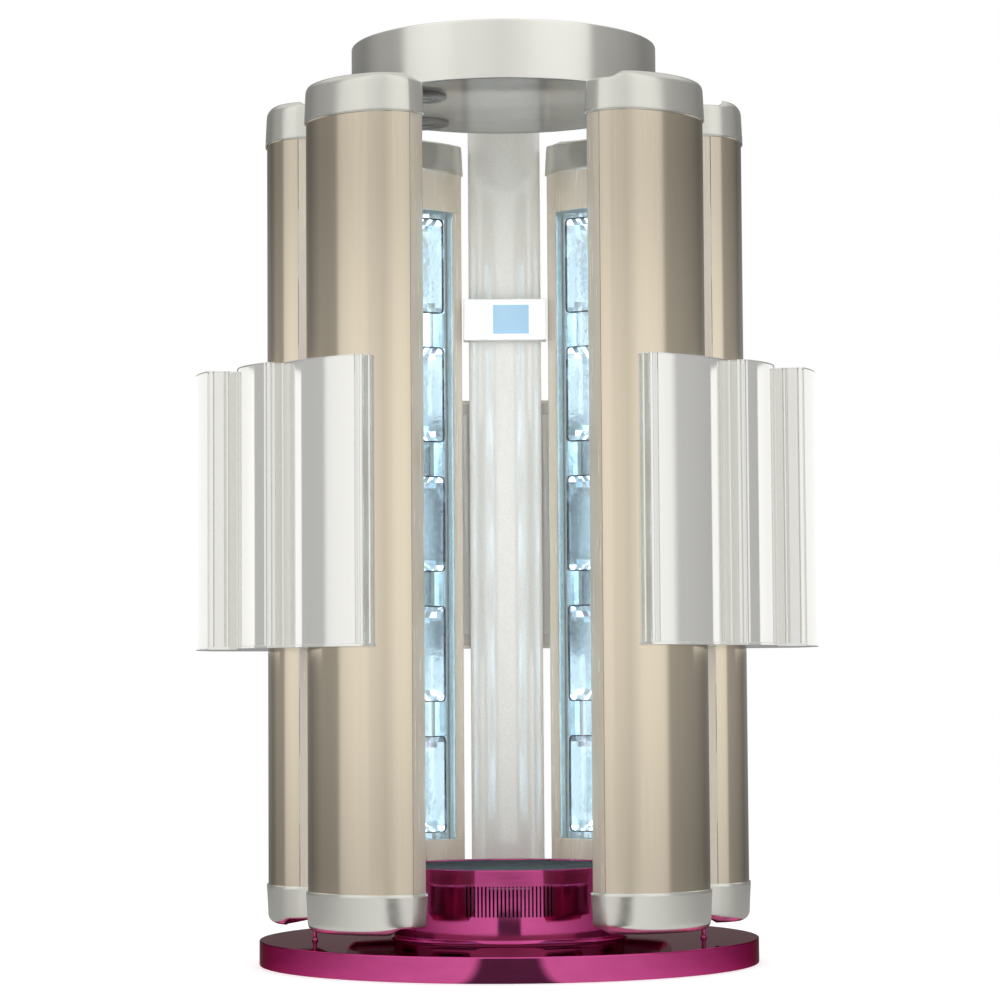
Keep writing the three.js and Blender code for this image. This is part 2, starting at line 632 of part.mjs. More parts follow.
// Waist frame of a half: a curved channel outside the three crowns, with the hinge knuckle
function waistFrameGeometry(side) {
  const facet = Math.cos(rad(SECTOR_STEP_ANGLE / 2));
  const inner = (columnCrown + SEAT_GAP) / facet;
  const bodyShape = sectorShape(inner, frameOuter, hingeAngle, FRAME_FRONT_ANGLE, side);
  const body = prism(bodyShape, knuckleBottom, knuckleTop);
  const channelOuter = frameOuter - FRAME_WEB;
  const channelEnd = FRAME_FRONT_ANGLE + SECTOR_STEP_ANGLE;
  const channelShape = sectorShape(inner - CUT_PAST, channelOuter, FRAME_ROOT_ANGLE, channelEnd, side);
  const channel = prism(channelShape, knuckleBottom + FRAME_FLANGE, knuckleTop - FRAME_FLANGE);
  const axisX = -side * hingeX;
  const knuckle = rod(axisX, hingeY, KNUCKLE_RADIUS, knuckleBottom, knuckleTop, ROD_SIDES);
  const past = [knuckleBottom - CUT_PAST, knuckleTop + CUT_PAST];
  const bore = rod(axisX, hingeY, boreRadius, ...past, ROD_SIDES);
  return geometryOf(cut(join(cut(body, channel), knuckle), bore));
}

function hingePinGeometry() {
  const bottom = lugBottom - PIN_TAIL;
  const head = lugTop + SEAT_GAP;
  const profile = [
    [0, bottom],
    [PIN_RADIUS, bottom],
    [PIN_RADIUS, head],
    [PIN_HEAD_RADIUS, head],
    [PIN_HEAD_RADIUS, head + PIN_HEAD_HEIGHT],
    [0, head + PIN_HEAD_HEIGHT],
  ];
  return geometryOf(turned(profile, ROD_SIDES));
}

function half(sideName, side) {
  const group = new THREE.Group();
  group.add(column(`${sideName}_front`, 1, side));
  group.add(column(`${sideName}_middle`, 0, side));
  group.add(column(`${sideName}_rear`, -1, side));
  addMesh(group, `${sideName}_waist_cover`, coverGeometry(side), brightAlloy());
  addMesh(group, `${sideName}_waist_frame`, waistFrameGeometry(side), darkMetal());
  const pin = addMesh(group, `${sideName}_hinge_pin`, hingePinGeometry(), steel());
  pin.position.set(-side * hingeX, hingeY, 0);
  return group;
}

// The mast's outline, moved inwards by an inset: bowed front, straight sides, rounded back corners
function mastShape(inset) {
  const half = mastHalf - inset;
  const radius = mastBowRadius - inset;
  const turn = Math.asin(half / radius);
  const edge = MAST_EDGE - inset;
  const [cornerX, cornerY] = [mastHalf - MAST_EDGE, mastBack - MAST_EDGE];
  const shape = new THREE.Shape();
  shape.absarc(0, mastFront + mastBowRadius, radius, -Math.PI / 2 - turn, -Math.PI / 2 + turn, false);
  shape.absarc(cornerX, cornerY, edge, 0, Math.PI / 2, false);
  shape.absarc(-cornerX, cornerY, edge, Math.PI / 2, Math.PI, false);
  return shape;
}

// Mast: a hollow post with the canopy arm, and a fin with two lugs for each hinge
function mastGeometry() {
  const post = prism(mastShape(0), BASE_HEIGHT + SEAT_GAP, mastTop);
  const room = prism(mastShape(MAST_WALL), BASE_HEIGHT - CUT_PAST, mastTop - MAST_WALL);
  const armBottom = canopyBottom + ARM_BOTTOM_RISE;
  const armTop = canopyTop - ARM_TOP_DROP;
  const armFront = Math.sqrt(CANOPY_RADIUS ** 2 - (ARM_WIDTH / 2) ** 2) - CUT_PAST;
  const arm = block(-ARM_WIDTH / 2, ARM_WIDTH / 2, armFront, mastFront + ARM_ROOT, armBottom, armTop);
  const armPast = [armBottom - CUT_PAST, armTop + CUT_PAST];
  const canopyRoom = rod(0, 0, CANOPY_RADIUS + SEAT_GAP, ...armPast, RING_SIDES);
  const finHalf = hingeX - KNUCKLE_RADIUS - FIN_CLEARANCE;
  const finY = [hingeY - FIN_THICKNESS / 2, hingeY + FIN_THICKNESS / 2];
  const fin = block(-finHalf, finHalf, ...finY, COVER_BOTTOM + FIN_INSET, coverTop - FIN_INSET);
  let body = join(cut(post, room), cut(arm, canopyRoom), fin);
  for (const x of [-hingeX, hingeX]) {
    for (const z of [lugBottom, lugTop - LUG_THICKNESS]) {
      const lugX = x < 0 ? [x, -mastHalf + MAST_WALL] : [mastHalf - MAST_WALL, x];
      const lug = block(...lugX, hingeY - KNUCKLE_RADIUS, hingeY + KNUCKLE_RADIUS, z, z + LUG_THICKNESS);
      const eye = rod(x, hingeY, KNUCKLE_RADIUS, z, z + LUG_THICKNESS, ROD_SIDES);
      body = join(body, lug, eye);
    }
    const past = [lugBottom - CUT_PAST, lugTop + CUT_PAST];
    body = cut(body, rod(x, hingeY, boreRadius, ...past, ROD_SIDES));
  }
  return geometryOf(body);
}

function controlPanelGeometry() {
  const front = mastFront - SEAT_GAP - PANEL_DEPTH;
  const outline = roundedRectangle(-panelHalf, panelHalf, front, mastFront + MAST_BOW, PANEL_EDGE);
  const body = prism(outline, PANEL_RISE, PANEL_RISE + PANEL_HEIGHT);
  const mast = prism(mastShape(-SEAT_GAP), PANEL_RISE - CUT_PAST, PANEL_RISE + PANEL_HEIGHT + CUT_PAST);
  return geometryOf(cut(body, mast, displayBody(SEAT_GAP)));
}

// The display's body, grown on all sides for the recess that it sits in
function displayBody(grow) {
  const front = mastFront - SEAT_GAP - PANEL_DEPTH;
  const half = DISPLAY_WIDTH / 2 + grow;
  const middle = PANEL_RISE + PANEL_HEIGHT / 2;
  const reach = DISPLAY_HEIGHT / 2 + grow;
  const start = grow > 0 ? front - CUT_PAST : front;
  const [left, right] = [DISPLAY_SHIFT - half, DISPLAY_SHIFT + half];
  return block(left, right, start, front + DISPLAY_DEPTH + grow, middle - reach, middle + reach);
}

// Base: a pan open below, which rests on its ring and on a middle hub
function baseGeometry() {
  const profile = [
    [0, 0],
    [BASE_HUB_RADIUS, 0],
    [BASE_HUB_RADIUS, BASE_HEIGHT - BASE_SKIN],
    [baseRadius - BASE_SKIN, BASE_HEIGHT - BASE_SKIN],
    [baseRadius - BASE_SKIN, BASE_SKIN],
    [baseRadius - BASE_FLANGE, BASE_SKIN],
    [baseRadius - BASE_FLANGE, 0],
    [baseRadius, 0],
    [baseRadius, BASE_HEIGHT - BASE_EDGE],
    [baseRadius - BASE_EDGE, BASE_HEIGHT],
    [0, BASE_HEIGHT],
  ];
  return geometryOf(turned(profile, RING_SIDES));
}

// Pedestal drum with its rim, the ledge under the tread plate and the row of air slots in front
function drumGeometry() {
  const bottom = BASE_HEIGHT + SEAT_GAP;
  const rim = DRUM_RADIUS - DRUM_RIM;
  const ledge = treadBottom - SEAT_GAP;
  const profile = [
    [DRUM_RADIUS - DRUM_WALL, bottom],
    [DRUM_RADIUS + DRUM_FLARE, bottom],
    [DRUM_RADIUS, bottom + DRUM_FLARE_HEIGHT],
    [DRUM_RADIUS, drumTop],
    [rim, drumTop],
    [rim, ledge],
    [rim - LEDGE_WIDTH, ledge],
    [rim - LEDGE_WIDTH, ledge - LEDGE_THICKNESS],
    [DRUM_RADIUS - DRUM_WALL, ledge - LEDGE_THICKNESS],
    [DRUM_RADIUS - DRUM_WALL, bottom],
  ];
  const slotBottom = BASE_HEIGHT + VENT_SLOT_RISE;
  const [near, far] = [-DRUM_RADIUS - CUT_PAST, -DRUM_RADIUS + CUT_PAST];
  const half = VENT_SLOT_WIDTH / 2;
  const slot = block(-half, half, near, far, slotBottom, slotBottom + VENT_SLOT_HEIGHT);
  const slots = Array.from({ length: VENT_COUNT }, (_, i) => i - (VENT_COUNT - 1) / 2)
    .map((place) => slot.rotate(0, 0, deg((place * VENT_SPACING) / DRUM_RADIUS)));
  return geometryOf(cut(turned(profile, RING_SIDES), ...slots));
}

function treadGeometry() {
  const profile = [
    [0, treadBottom],
    [treadRadius, treadBottom],
    [treadRadius, treadBottom + TREAD_THICKNESS],
    [0, treadBottom + TREAD_THICKNESS],
  ];
  return geometryOf(turned(profile, RING_SIDES));
}

// Blower: motor with its upright shaft, and the wheel on it
const motorBottom = BASE_HEIGHT + SEAT_GAP;
const motorTop = motorBottom + MOTOR_FOOT_HEIGHT + MOTOR_HEIGHT;
const wheelBottom = motorTop + SEAT_GAP;
const wheelTop = wheelBottom + 2 * WHEEL_PLATE + WHEEL_HEIGHT;

function motorGeometry() {
  const profile = [
    [0, motorBottom],
    [MOTOR_FOOT_RADIUS, motorBottom],
    [MOTOR_FOOT_RADIUS, motorBottom + MOTOR_FOOT_HEIGHT],
    [MOTOR_RADIUS, motorBottom + MOTOR_FOOT_HEIGHT],
    [MOTOR_RADIUS, motorTop],
    [SHAFT_RADIUS, motorTop],
    [SHAFT_RADIUS, wheelTop],
    [0, wheelTop],
  ];
  return geometryOf(turned(profile, DISC_SIDES));
}

function wheelGeometry() {
  const bore = SHAFT_RADIUS + SEAT_GAP;
  const plateTop = wheelBottom + WHEEL_PLATE;
  const hubTop = plateTop + WHEEL_HEIGHT / 2;
  const profile = [
    [bore, wheelBottom],
    [WHEEL_RADIUS, wheelBottom],
    [WHEEL_RADIUS, plateTop],
    [WHEEL_HUB_RADIUS, plateTop],
    [WHEEL_HUB_RADIUS, hubTop],
    [bore, hubTop],
    [bore, wheelBottom],
  ];
  const ringProfile = [
    [WHEEL_EYE_RADIUS, wheelTop - WHEEL_PLATE],
    [WHEEL_RADIUS, wheelTop - WHEEL_PLATE],
    [WHEEL_RADIUS, wheelTop],
    [WHEEL_EYE_RADIUS, wheelTop],
    [WHEEL_EYE_RADIUS, wheelTop - WHEEL_PLATE],
  ];
  const middle = (WHEEL_EYE_RADIUS + WHEEL_RADIUS) / 2;
  const [low, high] = [plateTop - WHEEL_PLATE / 2, wheelTop - WHEEL_PLATE / 2];
  const upright = block(-BLADE_LENGTH / 2, BLADE_LENGTH / 2, 0, BLADE_THICKNESS, low, high);
  const blade = upright.rotate(0, 0, BLADE_SWEEP_ANGLE).translate(middle, 0, 0);
  const blades = Array.from({ length: BLADE_COUNT }, (_, i) => blade.rotate(0, 0, (360 * i) / BLADE_COUNT));
  return geometryOf(join(turned(profile, DISC_SIDES), turned(ringProfile, DISC_SIDES), ...blades));
}

// Canopy: an upside-down pan, its underside and two round air nozzles
function canopyGeometry() {
  const wall = CANOPY_RADIUS - CANOPY_WALL;
  const profile = [
    [0, canopyTop - CANOPY_WALL],
    [wall, canopyTop - CANOPY_WALL],
    [wall, canopyBottom],
    [CANOPY_RADIUS, canopyBottom],
    [CANOPY_RADIUS, canopyTop - CANOPY_EDGE],
    [CANOPY_RADIUS - CANOPY_EDGE, canopyTop],
    [0, canopyTop],
  ];
  return geometryOf(turned(profile, RING_SIDES));
}

const nozzlePlaces = { front_nozzle: [NOZZLE_X, FRONT_NOZZLE_Y], rear_nozzle: [NOZZLE_X, REAR_NOZZLE_Y] };

function soffitGeometry() {
  const radius = CANOPY_RADIUS - CANOPY_WALL - SEAT_GAP;
  const top = canopyBottom + SOFFIT_THICKNESS;
  const profile = [
    [0, canopyBottom],
    [radius, canopyBottom],
    [radius, top],
    [0, top],
  ];
  const hole = NOZZLE_NECK_RADIUS + TURN_GAP;
  const past = [canopyBottom - CUT_PAST, top + CUT_PAST];
  const holes = Object.values(nozzlePlaces).map(([x, y]) => rod(x, y, hole, ...past, DISC_SIDES));
  return geometryOf(cut(turned(profile, RING_SIDES), ...holes));
}

function nozzleGeometry() {
  const flangeTop = canopyBottom - SEAT_GAP;
  const face = flangeTop - NOZZLE_FLANGE_THICKNESS;
  const flange = NOZZLE_NECK_RADIUS + NOZZLE_FLANGE;
  const neckTop = canopyBottom + SOFFIT_THICKNESS + NOZZLE_NECK_RISE;
  const profile = [
    [0, face],
    [flange - NOZZLE_EDGE, face],
    [flange, face + NOZZLE_EDGE],
    [flange, flangeTop],
    [NOZZLE_NECK_RADIUS, flangeTop],
    [NOZZLE_NECK_RADIUS, neckTop],
    [0, neckTop],
  ];
  const [long, wide] = [NOZZLE_SLOT_LENGTH / 2, NOZZLE_SLOT_WIDTH / 2];
  const slot = block(-long, long, -wide, wide, face - CUT_PAST, face + NOZZLE_SLOT_DEPTH);
  return geometryOf(cut(turned(profile, DISC_SIDES), slot));
}

// Assembly
const booth = new THREE.Group();
addMesh(booth, 'base_disc', baseGeometry(), magentaChrome());
addMesh(booth, 'pedestal_drum', drumGeometry(), magentaChrome());
addMesh(booth, 'tread_plate', treadGeometry(), darkTread());
addMesh(booth, 'blower_motor', motorGeometry(), darkMetal());
addMesh(booth, 'blower_wheel', wheelGeometry(), steel());
addMesh(booth, 'rear_mast', mastGeometry(), satinGrey());
addMesh(booth, 'control_panel', controlPanelGeometry(), whitePlastic());
addMesh(booth, 'display', geometryOf(displayBody(0)), blueDisplay());
addMesh(booth, 'canopy_drum', canopyGeometry(), satinGrey());
addMesh(booth, 'canopy_soffit', soffitGeometry(), glossGrey());
for (const [name, [x, y]] of Object.entries(nozzlePlaces)) {
  addMesh(booth, name, nozzleGeometry(), glossGrey()).position.set(x, y, 0);
}
booth.add(half('left', 1));
booth.add(half('right', -1));

export default booth;
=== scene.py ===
import math

import bmesh
import bpy
import numpy as np
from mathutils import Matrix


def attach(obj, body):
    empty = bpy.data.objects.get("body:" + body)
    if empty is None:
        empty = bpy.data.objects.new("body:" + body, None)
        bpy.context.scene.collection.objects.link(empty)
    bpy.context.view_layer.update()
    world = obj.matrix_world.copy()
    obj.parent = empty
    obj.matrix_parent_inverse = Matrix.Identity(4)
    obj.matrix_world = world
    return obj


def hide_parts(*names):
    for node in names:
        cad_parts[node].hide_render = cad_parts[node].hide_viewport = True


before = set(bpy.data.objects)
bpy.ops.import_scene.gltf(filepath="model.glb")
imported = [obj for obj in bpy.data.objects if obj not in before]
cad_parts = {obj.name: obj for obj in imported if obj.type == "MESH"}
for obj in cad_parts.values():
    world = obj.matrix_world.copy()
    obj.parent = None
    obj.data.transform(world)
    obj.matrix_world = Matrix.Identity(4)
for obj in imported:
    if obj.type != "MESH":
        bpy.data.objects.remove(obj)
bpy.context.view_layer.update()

mm = 0.001  # the shapes below are worked out in millimetres
print("booth: frame with", len(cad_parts), "nodes")

# tools for surfaces, in millimetres


# rises from 0 to 1 as t goes from 0 to 1, level at both ends
def smooth(t):
    t = np.clip(t, 0, 1)
    return t * t * (3 - 2 * t)


# points on a circle round (x, y), from one angle to another
def arc(x, y, radius, start, end, count):
    t = np.linspace(start, end, count)
    return np.stack([x + radius * np.cos(t), y + radius * np.sin(t)], -1)


# closed outline with each corner rounded: a curve from side to side with the corner as its handle
def softRing(corners, radius, steps=4):
    c = np.asarray(corners, float)
    back, ahead = np.roll(c, 1, 0) - c, np.roll(c, -1, 0) - c
    backLength = np.linalg.norm(back, axis=1, keepdims=True)
    aheadLength = np.linalg.norm(ahead, axis=1, keepdims=True)
    reach = np.minimum(np.broadcast_to(radius, len(c))[:, None], 0.49 * np.minimum(backLength, aheadLength))
    a, b = c + back / backLength * reach, c + ahead / aheadLength * reach
    t = np.linspace(0, 1, steps + 1)[None, :, None]
    curve = (1 - t) ** 2 * a[:, None] + 2 * t * (1 - t) * c[:, None] + t ** 2 * b[:, None]
    return curve.reshape(-1, 2)


# unit normals of a polyline, to the left of its run, from the chord between neighbours
def leftNormals(path, closed=False):
    if closed:
        chord = np.roll(path, -1, 0) - np.roll(path, 1, 0)
    else:
        chord = np.gradient(path, axis=0)
    normal = np.stack([-chord[:, 1], chord[:, 0]], -1)
    return normal / np.linalg.norm(normal, axis=1, keepdims=True)


# closed outline moved inwards along its normals
def insetRing(ring, amount):
    nextX, nextY = np.roll(ring[:, 0], -1), np.roll(ring[:, 1], -1)
    area = np.sum(ring[:, 0] * nextY - nextX * ring[:, 1])
    return ring + leftNormals(ring, True) * amount * np.sign(area)


# grid of points (rows, columns, 3) as one closed skin, turned so that its volume is positive
def gridShell(points, wrapRows=False, wrapCols=True, ends=True):
    rows, cols = points.shape[:2]
    i, j = np.meshgrid(np.arange(rows - (not wrapRows)), np.arange(cols - (not wrapCols)), indexing="ij")
    i2, j2 = (i + 1) % rows, (j + 1) % cols
    quads = np.stack([i * cols + j, i * cols + j2, i2 * cols + j2, i2 * cols + j], -1).reshape(-1, 4)
    verts = points.reshape(-1, 3)
    caps = []
    if ends and not wrapRows:
        caps = [np.arange(cols)[::-1], np.arange(cols) + (rows - 1) * cols]
    corners = verts[quads]
    volume = np.sum(np.cross(corners[:, 0], corners[:, 1]) * corners[:, 2])
    volume += np.sum(np.cross(corners[:, 0], corners[:, 2]) * corners[:, 3])
    for cap in caps:
        rim = verts[cap]
        volume += np.sum(np.cross(rim[0], rim[1:-1]) * rim[2:])
    if volume < 0:
        quads, caps = quads[:, ::-1], [cap[::-1] for cap in caps]
    return verts, [quads] + caps


# several skins as one
def joinShells(shells):
    verts, faces, start = [], [], 0
    for points, parts in shells:
        verts.append(points)
        faces += [part + start for part in parts]
        start += len(points)
    return np.concatenate(verts), faces


# a skin turned round the booth's axis, moved in height, or mirrored to the other side
def placed(shell, angle=0.0, mirror=False):
    points, parts = shell
    c, s = math.cos(angle), math.sin(angle)
    points = points @ np.array([[c, s, 0], [-s, c, 0], [0, 0, 1]])
    if mirror:
        points, parts = points * [-1, 1, 1], [part[..., ::-1] for part in parts]
    return points, parts


# outline in a plane raised from one level to another, both edges rounded by a quarter circle and followed by a
# row that keeps the rounding's shading off the wall
def raised(outline, low, high, edge=1.0, steps=3, axes=(0, 1, 2)):
    t = np.linspace(0, np.pi / 2, steps + 1)
    inset, rise = np.append(edge * (1 - np.sin(t)), 0), np.append(edge * (1 - np.cos(t)), 1.7 * edge)
    insets = np.concatenate([inset, inset[::-1]])
    levels = np.concatenate([low + rise, (high - rise)[::-1]])
    rows = [np.column_stack([insetRing(outline, a), np.full(len(outline), z)]) for a, z in zip(insets, levels)]
    return gridShell(np.array(rows)[..., list(axes)])


# profile with a point near both ends of every long straight, so that its shading stays flat
def firmed(profile, closed, margin=1.2, longest=8):
    ends = np.roll(profile, -1, 0) if closed else np.concatenate([profile[1:], profile[-1:]])
    rows = []
    for here, there in zip(profile, ends):
        rows.append(here)
        length = np.linalg.norm(there - here)
        if length > longest:
            step = (there - here) * margin / length
            rows += [here + step, there - step]
    return np.array(rows)


# profile of (radius, height) turned round an upright axis; an open one is closed by a disc at each end
def turned(profile, sides, x=0.0, y=0.0, closed=True):
    profile = firmed(np.asarray(profile, float), closed)
    t = np.linspace(0, 2 * np.pi, sides, endpoint=False)
    radius, height = profile[:, :1], profile[:, 1:]
    points = np.stack([x + radius * np.cos(t), y + radius * np.sin(t), height + 0 * t], -1)
    return gridShell(points, wrapRows=closed)


# closed outline of (radius, height) carried round the booth's axis from one angle to another
def carriedRound(outline, start, end, steps):
    t = np.linspace(start, end, steps)[:, None]
    radius, height = outline[:, 0], outline[:, 1]
    return gridShell(np.stack([radius * np.cos(t), radius * np.sin(t), height + 0 * t], -1))


def box(x0, x1, y0, y1):
    return [(x0, y0), (x1, y0), (x1, y1), (x0, y1)]


def putPiece(name, shells, finish, body, stands=(), crease=35, weld=False, depth=None):
    verts, parts = joinShells(shells)
    faces = [face for part in parts for face in (part.tolist() if part.ndim == 2 else [part.tolist()])]
    mesh = bpy.data.meshes.new(name)
    mesh.from_pydata(verts * mm, [], faces)
    if weld:
        work = bmesh.new()
        work.from_mesh(mesh)
        bmesh.ops.remove_doubles(work, verts=work.verts, dist=0.00002)
        bmesh.ops.recalc_face_normals(work, faces=work.faces)
        work.to_mesh(mesh)
        work.free()
    mesh.update()
    mesh.shade_smooth()
    mesh.set_sharp_from_angle(angle=math.radians(crease))
    # per-point depth into a bowl, which the bowls' finish turns into a painted glow
    if depth is not None:
        mesh.attributes.new("depth", "FLOAT", "POINT").data.foreach_set("value", depth)
    mesh.materials.append(finish)
    piece = bpy.data.objects.new(name, mesh)
    bpy.context.scene.collection.objects.link(piece)
    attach(piece, body)
    if stands:
        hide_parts(*stands)
    return piece


# finishes


def newFinish(name, **sockets):
    finish = bpy.data.materials.new(name)
    finish.use_nodes = True
    shader = finish.node_tree.nodes["Principled BSDF"]
    for key, value in sockets.items():
        words = "".join(" " + letter if letter.isupper() else letter for letter in key).title()
        shader.inputs[words.replace("Ior", "IOR")].default_value = value
    return finish


def node(finish, kind, **inputs):
    made = finish.node_tree.nodes.new(kind)
    for key, value in inputs.items():
        made.inputs[key].default_value = value
    return made


def link(finish, source, target):
    finish.node_tree.links.new(source, target)


def shaderOf(finish):
    return finish.node_tree.nodes["Principled BSDF"]


# noise on the piece's own coordinates, stretched per axis (waves per metre)
def grain(finish, stretch, detail=3.0):
    coords = node(finish, "ShaderNodeTexCoord")
    mapping = node(finish, "ShaderNodeMapping", Scale=stretch)
    noise = node(finish, "ShaderNodeTexNoise", Scale=1.0, Detail=detail, Roughness=0.55)
    link(finish, coords.outputs["Object"], mapping.inputs["Vector"])
    link(finish, mapping.outputs["Vector"], noise.inputs["Vector"])
    return noise.outputs["Fac"]


def colourBy(finish, value, low, high, start=0.3, end=0.7):
    ramp = node(finish, "ShaderNodeValToRGB")
    ramp.color_ramp.elements[0].position, ramp.color_ramp.elements[1].position = start, end
    ramp.color_ramp.elements[0].color, ramp.color_ramp.elements[1].color = (*low, 1), (*high, 1)
    link(finish, value, ramp.inputs["Fac"])
    link(finish, ramp.outputs["Color"], shaderOf(finish).inputs["Base Color"])


def roughBy(finish, value, low, high):
    spread = node(finish, "ShaderNodeMapRange")
    spread.inputs["From Min"].default_value, spread.inputs["From Max"].default_value = 0.3, 0.7
    spread.inputs["To Min"].default_value, spread.inputs["To Max"].default_value = low, high
    link(finish, value, spread.inputs["Value"])
    link(finish, spread.outputs["Result"], shaderOf(finish).inputs["Roughness"])


def reliefBy(finish, value, strength, depth):
    bump = node(finish, "ShaderNodeBump", Strength=strength, Distance=depth)
    link(finish, value, bump.inputs["Height"])
    link(finish, bump.outputs["Normal"], shaderOf(finish).inputs["Normal"])


# anodised shells: fine upright brushing
champagneAlloy = newFinish("champagneAlloy", metallic=1.0)
brushed = grain(champagneAlloy, (420, 420, 3))
colourBy(champagneAlloy, brushed, (0.685, 0.60, 0.47), (0.705, 0.62, 0.488))
roughBy(champagneAlloy, brushed, 0.12, 0.14)
reliefBy(champagneAlloy, brushed, 0.004, 0.0003)

# lamp frames: the shells' champagne in satin, its colour a little lighter all over and less metallic: painted light
# standing in for the lamps shining on it
champagneSatinPaintedLight = newFinish("champagneSatinPaintedLight", metallic=0.45, coatWeight=0.5, coatRoughness=0.04)
matted = grain(champagneSatinPaintedLight, (300, 300, 6))
colourBy(champagneSatinPaintedLight, matted, (0.72, 0.655, 0.55), (0.76, 0.695, 0.59))
roughBy(champagneSatinPaintedLight, matted, 0.2, 0.28)
reliefBy(champagneSatinPaintedLight, matted, 0.012, 0.0003)

# lacquered caps: fine metal flake under a satin coat
capSilver = newFinish("capSilver", metallic=0.9, coatWeight=0.1, coatRoughness=0.2)
flake = grain(capSilver, (900, 900, 900), 2)
colourBy(capSilver, flake, (0.68, 0.67, 0.612), (0.72, 0.71, 0.65))
roughBy(capSilver, grain(capSilver, (60, 60, 60)), 0.2, 0.26)
reliefBy(capSilver, flake, 0.03, 0.0003)

# polished covers: drawn lines up the section
coverBright = newFinish("coverBright", metallic=0.75)
drawn = grain(coverBright, (700, 700, 1.5))
colourBy(coverBright, drawn, (0.815, 0.81, 0.775), (0.835, 0.83, 0.795))
roughBy(coverBright, drawn, 0.05, 0.09)
reliefBy(coverBright, drawn, 0.01, 0.0003)

# canopy: satin lacquer
canopySatin = newFinish("canopySatin", metallic=0.95, coatWeight=0.1, coatRoughness=0.2)
lacquer = grain(canopySatin, (900, 900, 900), 2)
colourBy(canopySatin, lacquer, (0.83, 0.82, 0.757), (0.86, 0.85, 0.785))
roughBy(canopySatin, grain(canopySatin, (8, 8, 8), 1), 0.15, 0.19)
reliefBy(canopySatin, lacquer, 0.008, 0.0002)

# base and pedestal: mirror chrome with faint wiping marks under a film of colour, darker the flatter it is seen
magentaChrome = newFinish("magentaChrome", metallic=1.0, coatWeight=1.0, coatRoughness=0.03, coatTint=(0.70, 0.26, 0.48, 1))
shaderOf(magentaChrome).inputs["Coat IOR"].default_value = 1.015
wiped = grain(magentaChrome, (14, 14, 40), 5)
colourBy(magentaChrome, wiped, (0.80, 0.32, 0.56), (0.88, 0.37, 0.62))
roughBy(magentaChrome, wiped, 0.04, 0.09)

# mast: silver lacquer with coarse metal flake under a clear coat
mastGrey = newFinish("mastGrey", metallic=0.1, coatWeight=1.0, coatRoughness=0.02)
shaderOf(mastGrey).inputs["Coat IOR"].default_value = 2.2
sparkle = grain(mastGrey, (330, 330, 330), 2)
colourBy(mastGrey, sparkle, (0.68, 0.67, 0.625), (0.78, 0.77, 0.72))
roughBy(mastGrey, sparkle, 0.3, 0.4)
reliefBy(mastGrey, sparkle, 0.03, 0.0004)

# soffit: glossy grey lacquer
soffitGrey = newFinish("soffitGrey", metallic=0.12, coatWeight=0.2, coatRoughness=0.05, specularIorLevel=0.3)
colourBy(soffitGrey, grain(soffitGrey, (8, 8, 8)), (0.28, 0.275, 0.258), (0.32, 0.315, 0.295))
roughBy(soffitGrey, grain(soffitGrey, (120, 120, 120)), 0.14, 0.22)

# nozzles: dark grey moulded plastic with a fine texture
nozzleGrey = newFinish("nozzleGrey", metallic=0.0)
pitted = grain(nozzleGrey, (1400, 1400, 1400), 2)
colourBy(nozzleGrey, grain(nozzleGrey, (40, 40, 40)), (0.105, 0.10, 0.09), (0.14, 0.133, 0.12))
roughBy(nozzleGrey, pitted, 0.3, 0.42)
reliefBy(nozzleGrey, pitted, 0.12, 0.0002)

# control panel: white moulded plastic
panelWhite = newFinish("panelWhite", metallic=0.0, coatWeight=0.1, coatRoughness=0.15)
moulded = grain(panelWhite, (1200, 1200, 1200), 2)
colourBy(panelWhite, grain(panelWhite, (15, 15, 15)), (0.88, 0.88, 0.87), (0.92, 0.92, 0.91))
roughBy(panelWhite, moulded, 0.24, 0.32)
reliefBy(panelWhite, moulded, 0.06, 0.0002)

# display: lit blue panel, a little brighter upwards
displayBlue = newFinish("displayBlue", roughness=0.12, coatWeight=0.6, coatRoughness=0.03, emissionStrength=0.42)
glow = grain(displayBlue, (3, 3, 6), 1)
colourBy(displayBlue, glow, (0.19, 0.34, 0.45), (0.21, 0.37, 0.49))
shaderOf(displayBlue).inputs["Emission Color"].default_value = (0.45, 0.62, 0.78, 1)

# tread: dark rubber
treadRubber = newFinish("treadRubber", metallic=0.0, specularIorLevel=0.15)
rubber = grain(treadRubber, (260, 260, 260), 4)
colourBy(treadRubber, rubber, (0.028, 0.038, 0.043), (0.045, 0.058, 0.064))
roughBy(treadRubber, rubber, 0.6, 0.75)
reliefBy(treadRubber, rubber, 0.15, 0.0004)

# frames and motor: dark powder coat
darkCoat = newFinish("darkCoat", metallic=0.35)
powder = grain(darkCoat, (700, 700, 700), 2)
colourBy(darkCoat, powder, (0.035, 0.037, 0.04), (0.055, 0.058, 0.062))
roughBy(darkCoat, powder, 0.45, 0.6)
reliefBy(darkCoat, powder, 0.15, 0.0003)

# pins, wheel, rails and holders: turned steel
turnedSteel = newFinish("turnedSteel", metallic=1.0)
lathe = grain(turnedSteel, (90, 90, 1600), 2)
colourBy(turnedSteel, lathe, (0.42, 0.43, 0.44), (0.52, 0.53, 0.54))
roughBy(turnedSteel, lathe, 0.22, 0.34)
reliefBy(turnedSteel, lathe, 0.06, 0.0002)
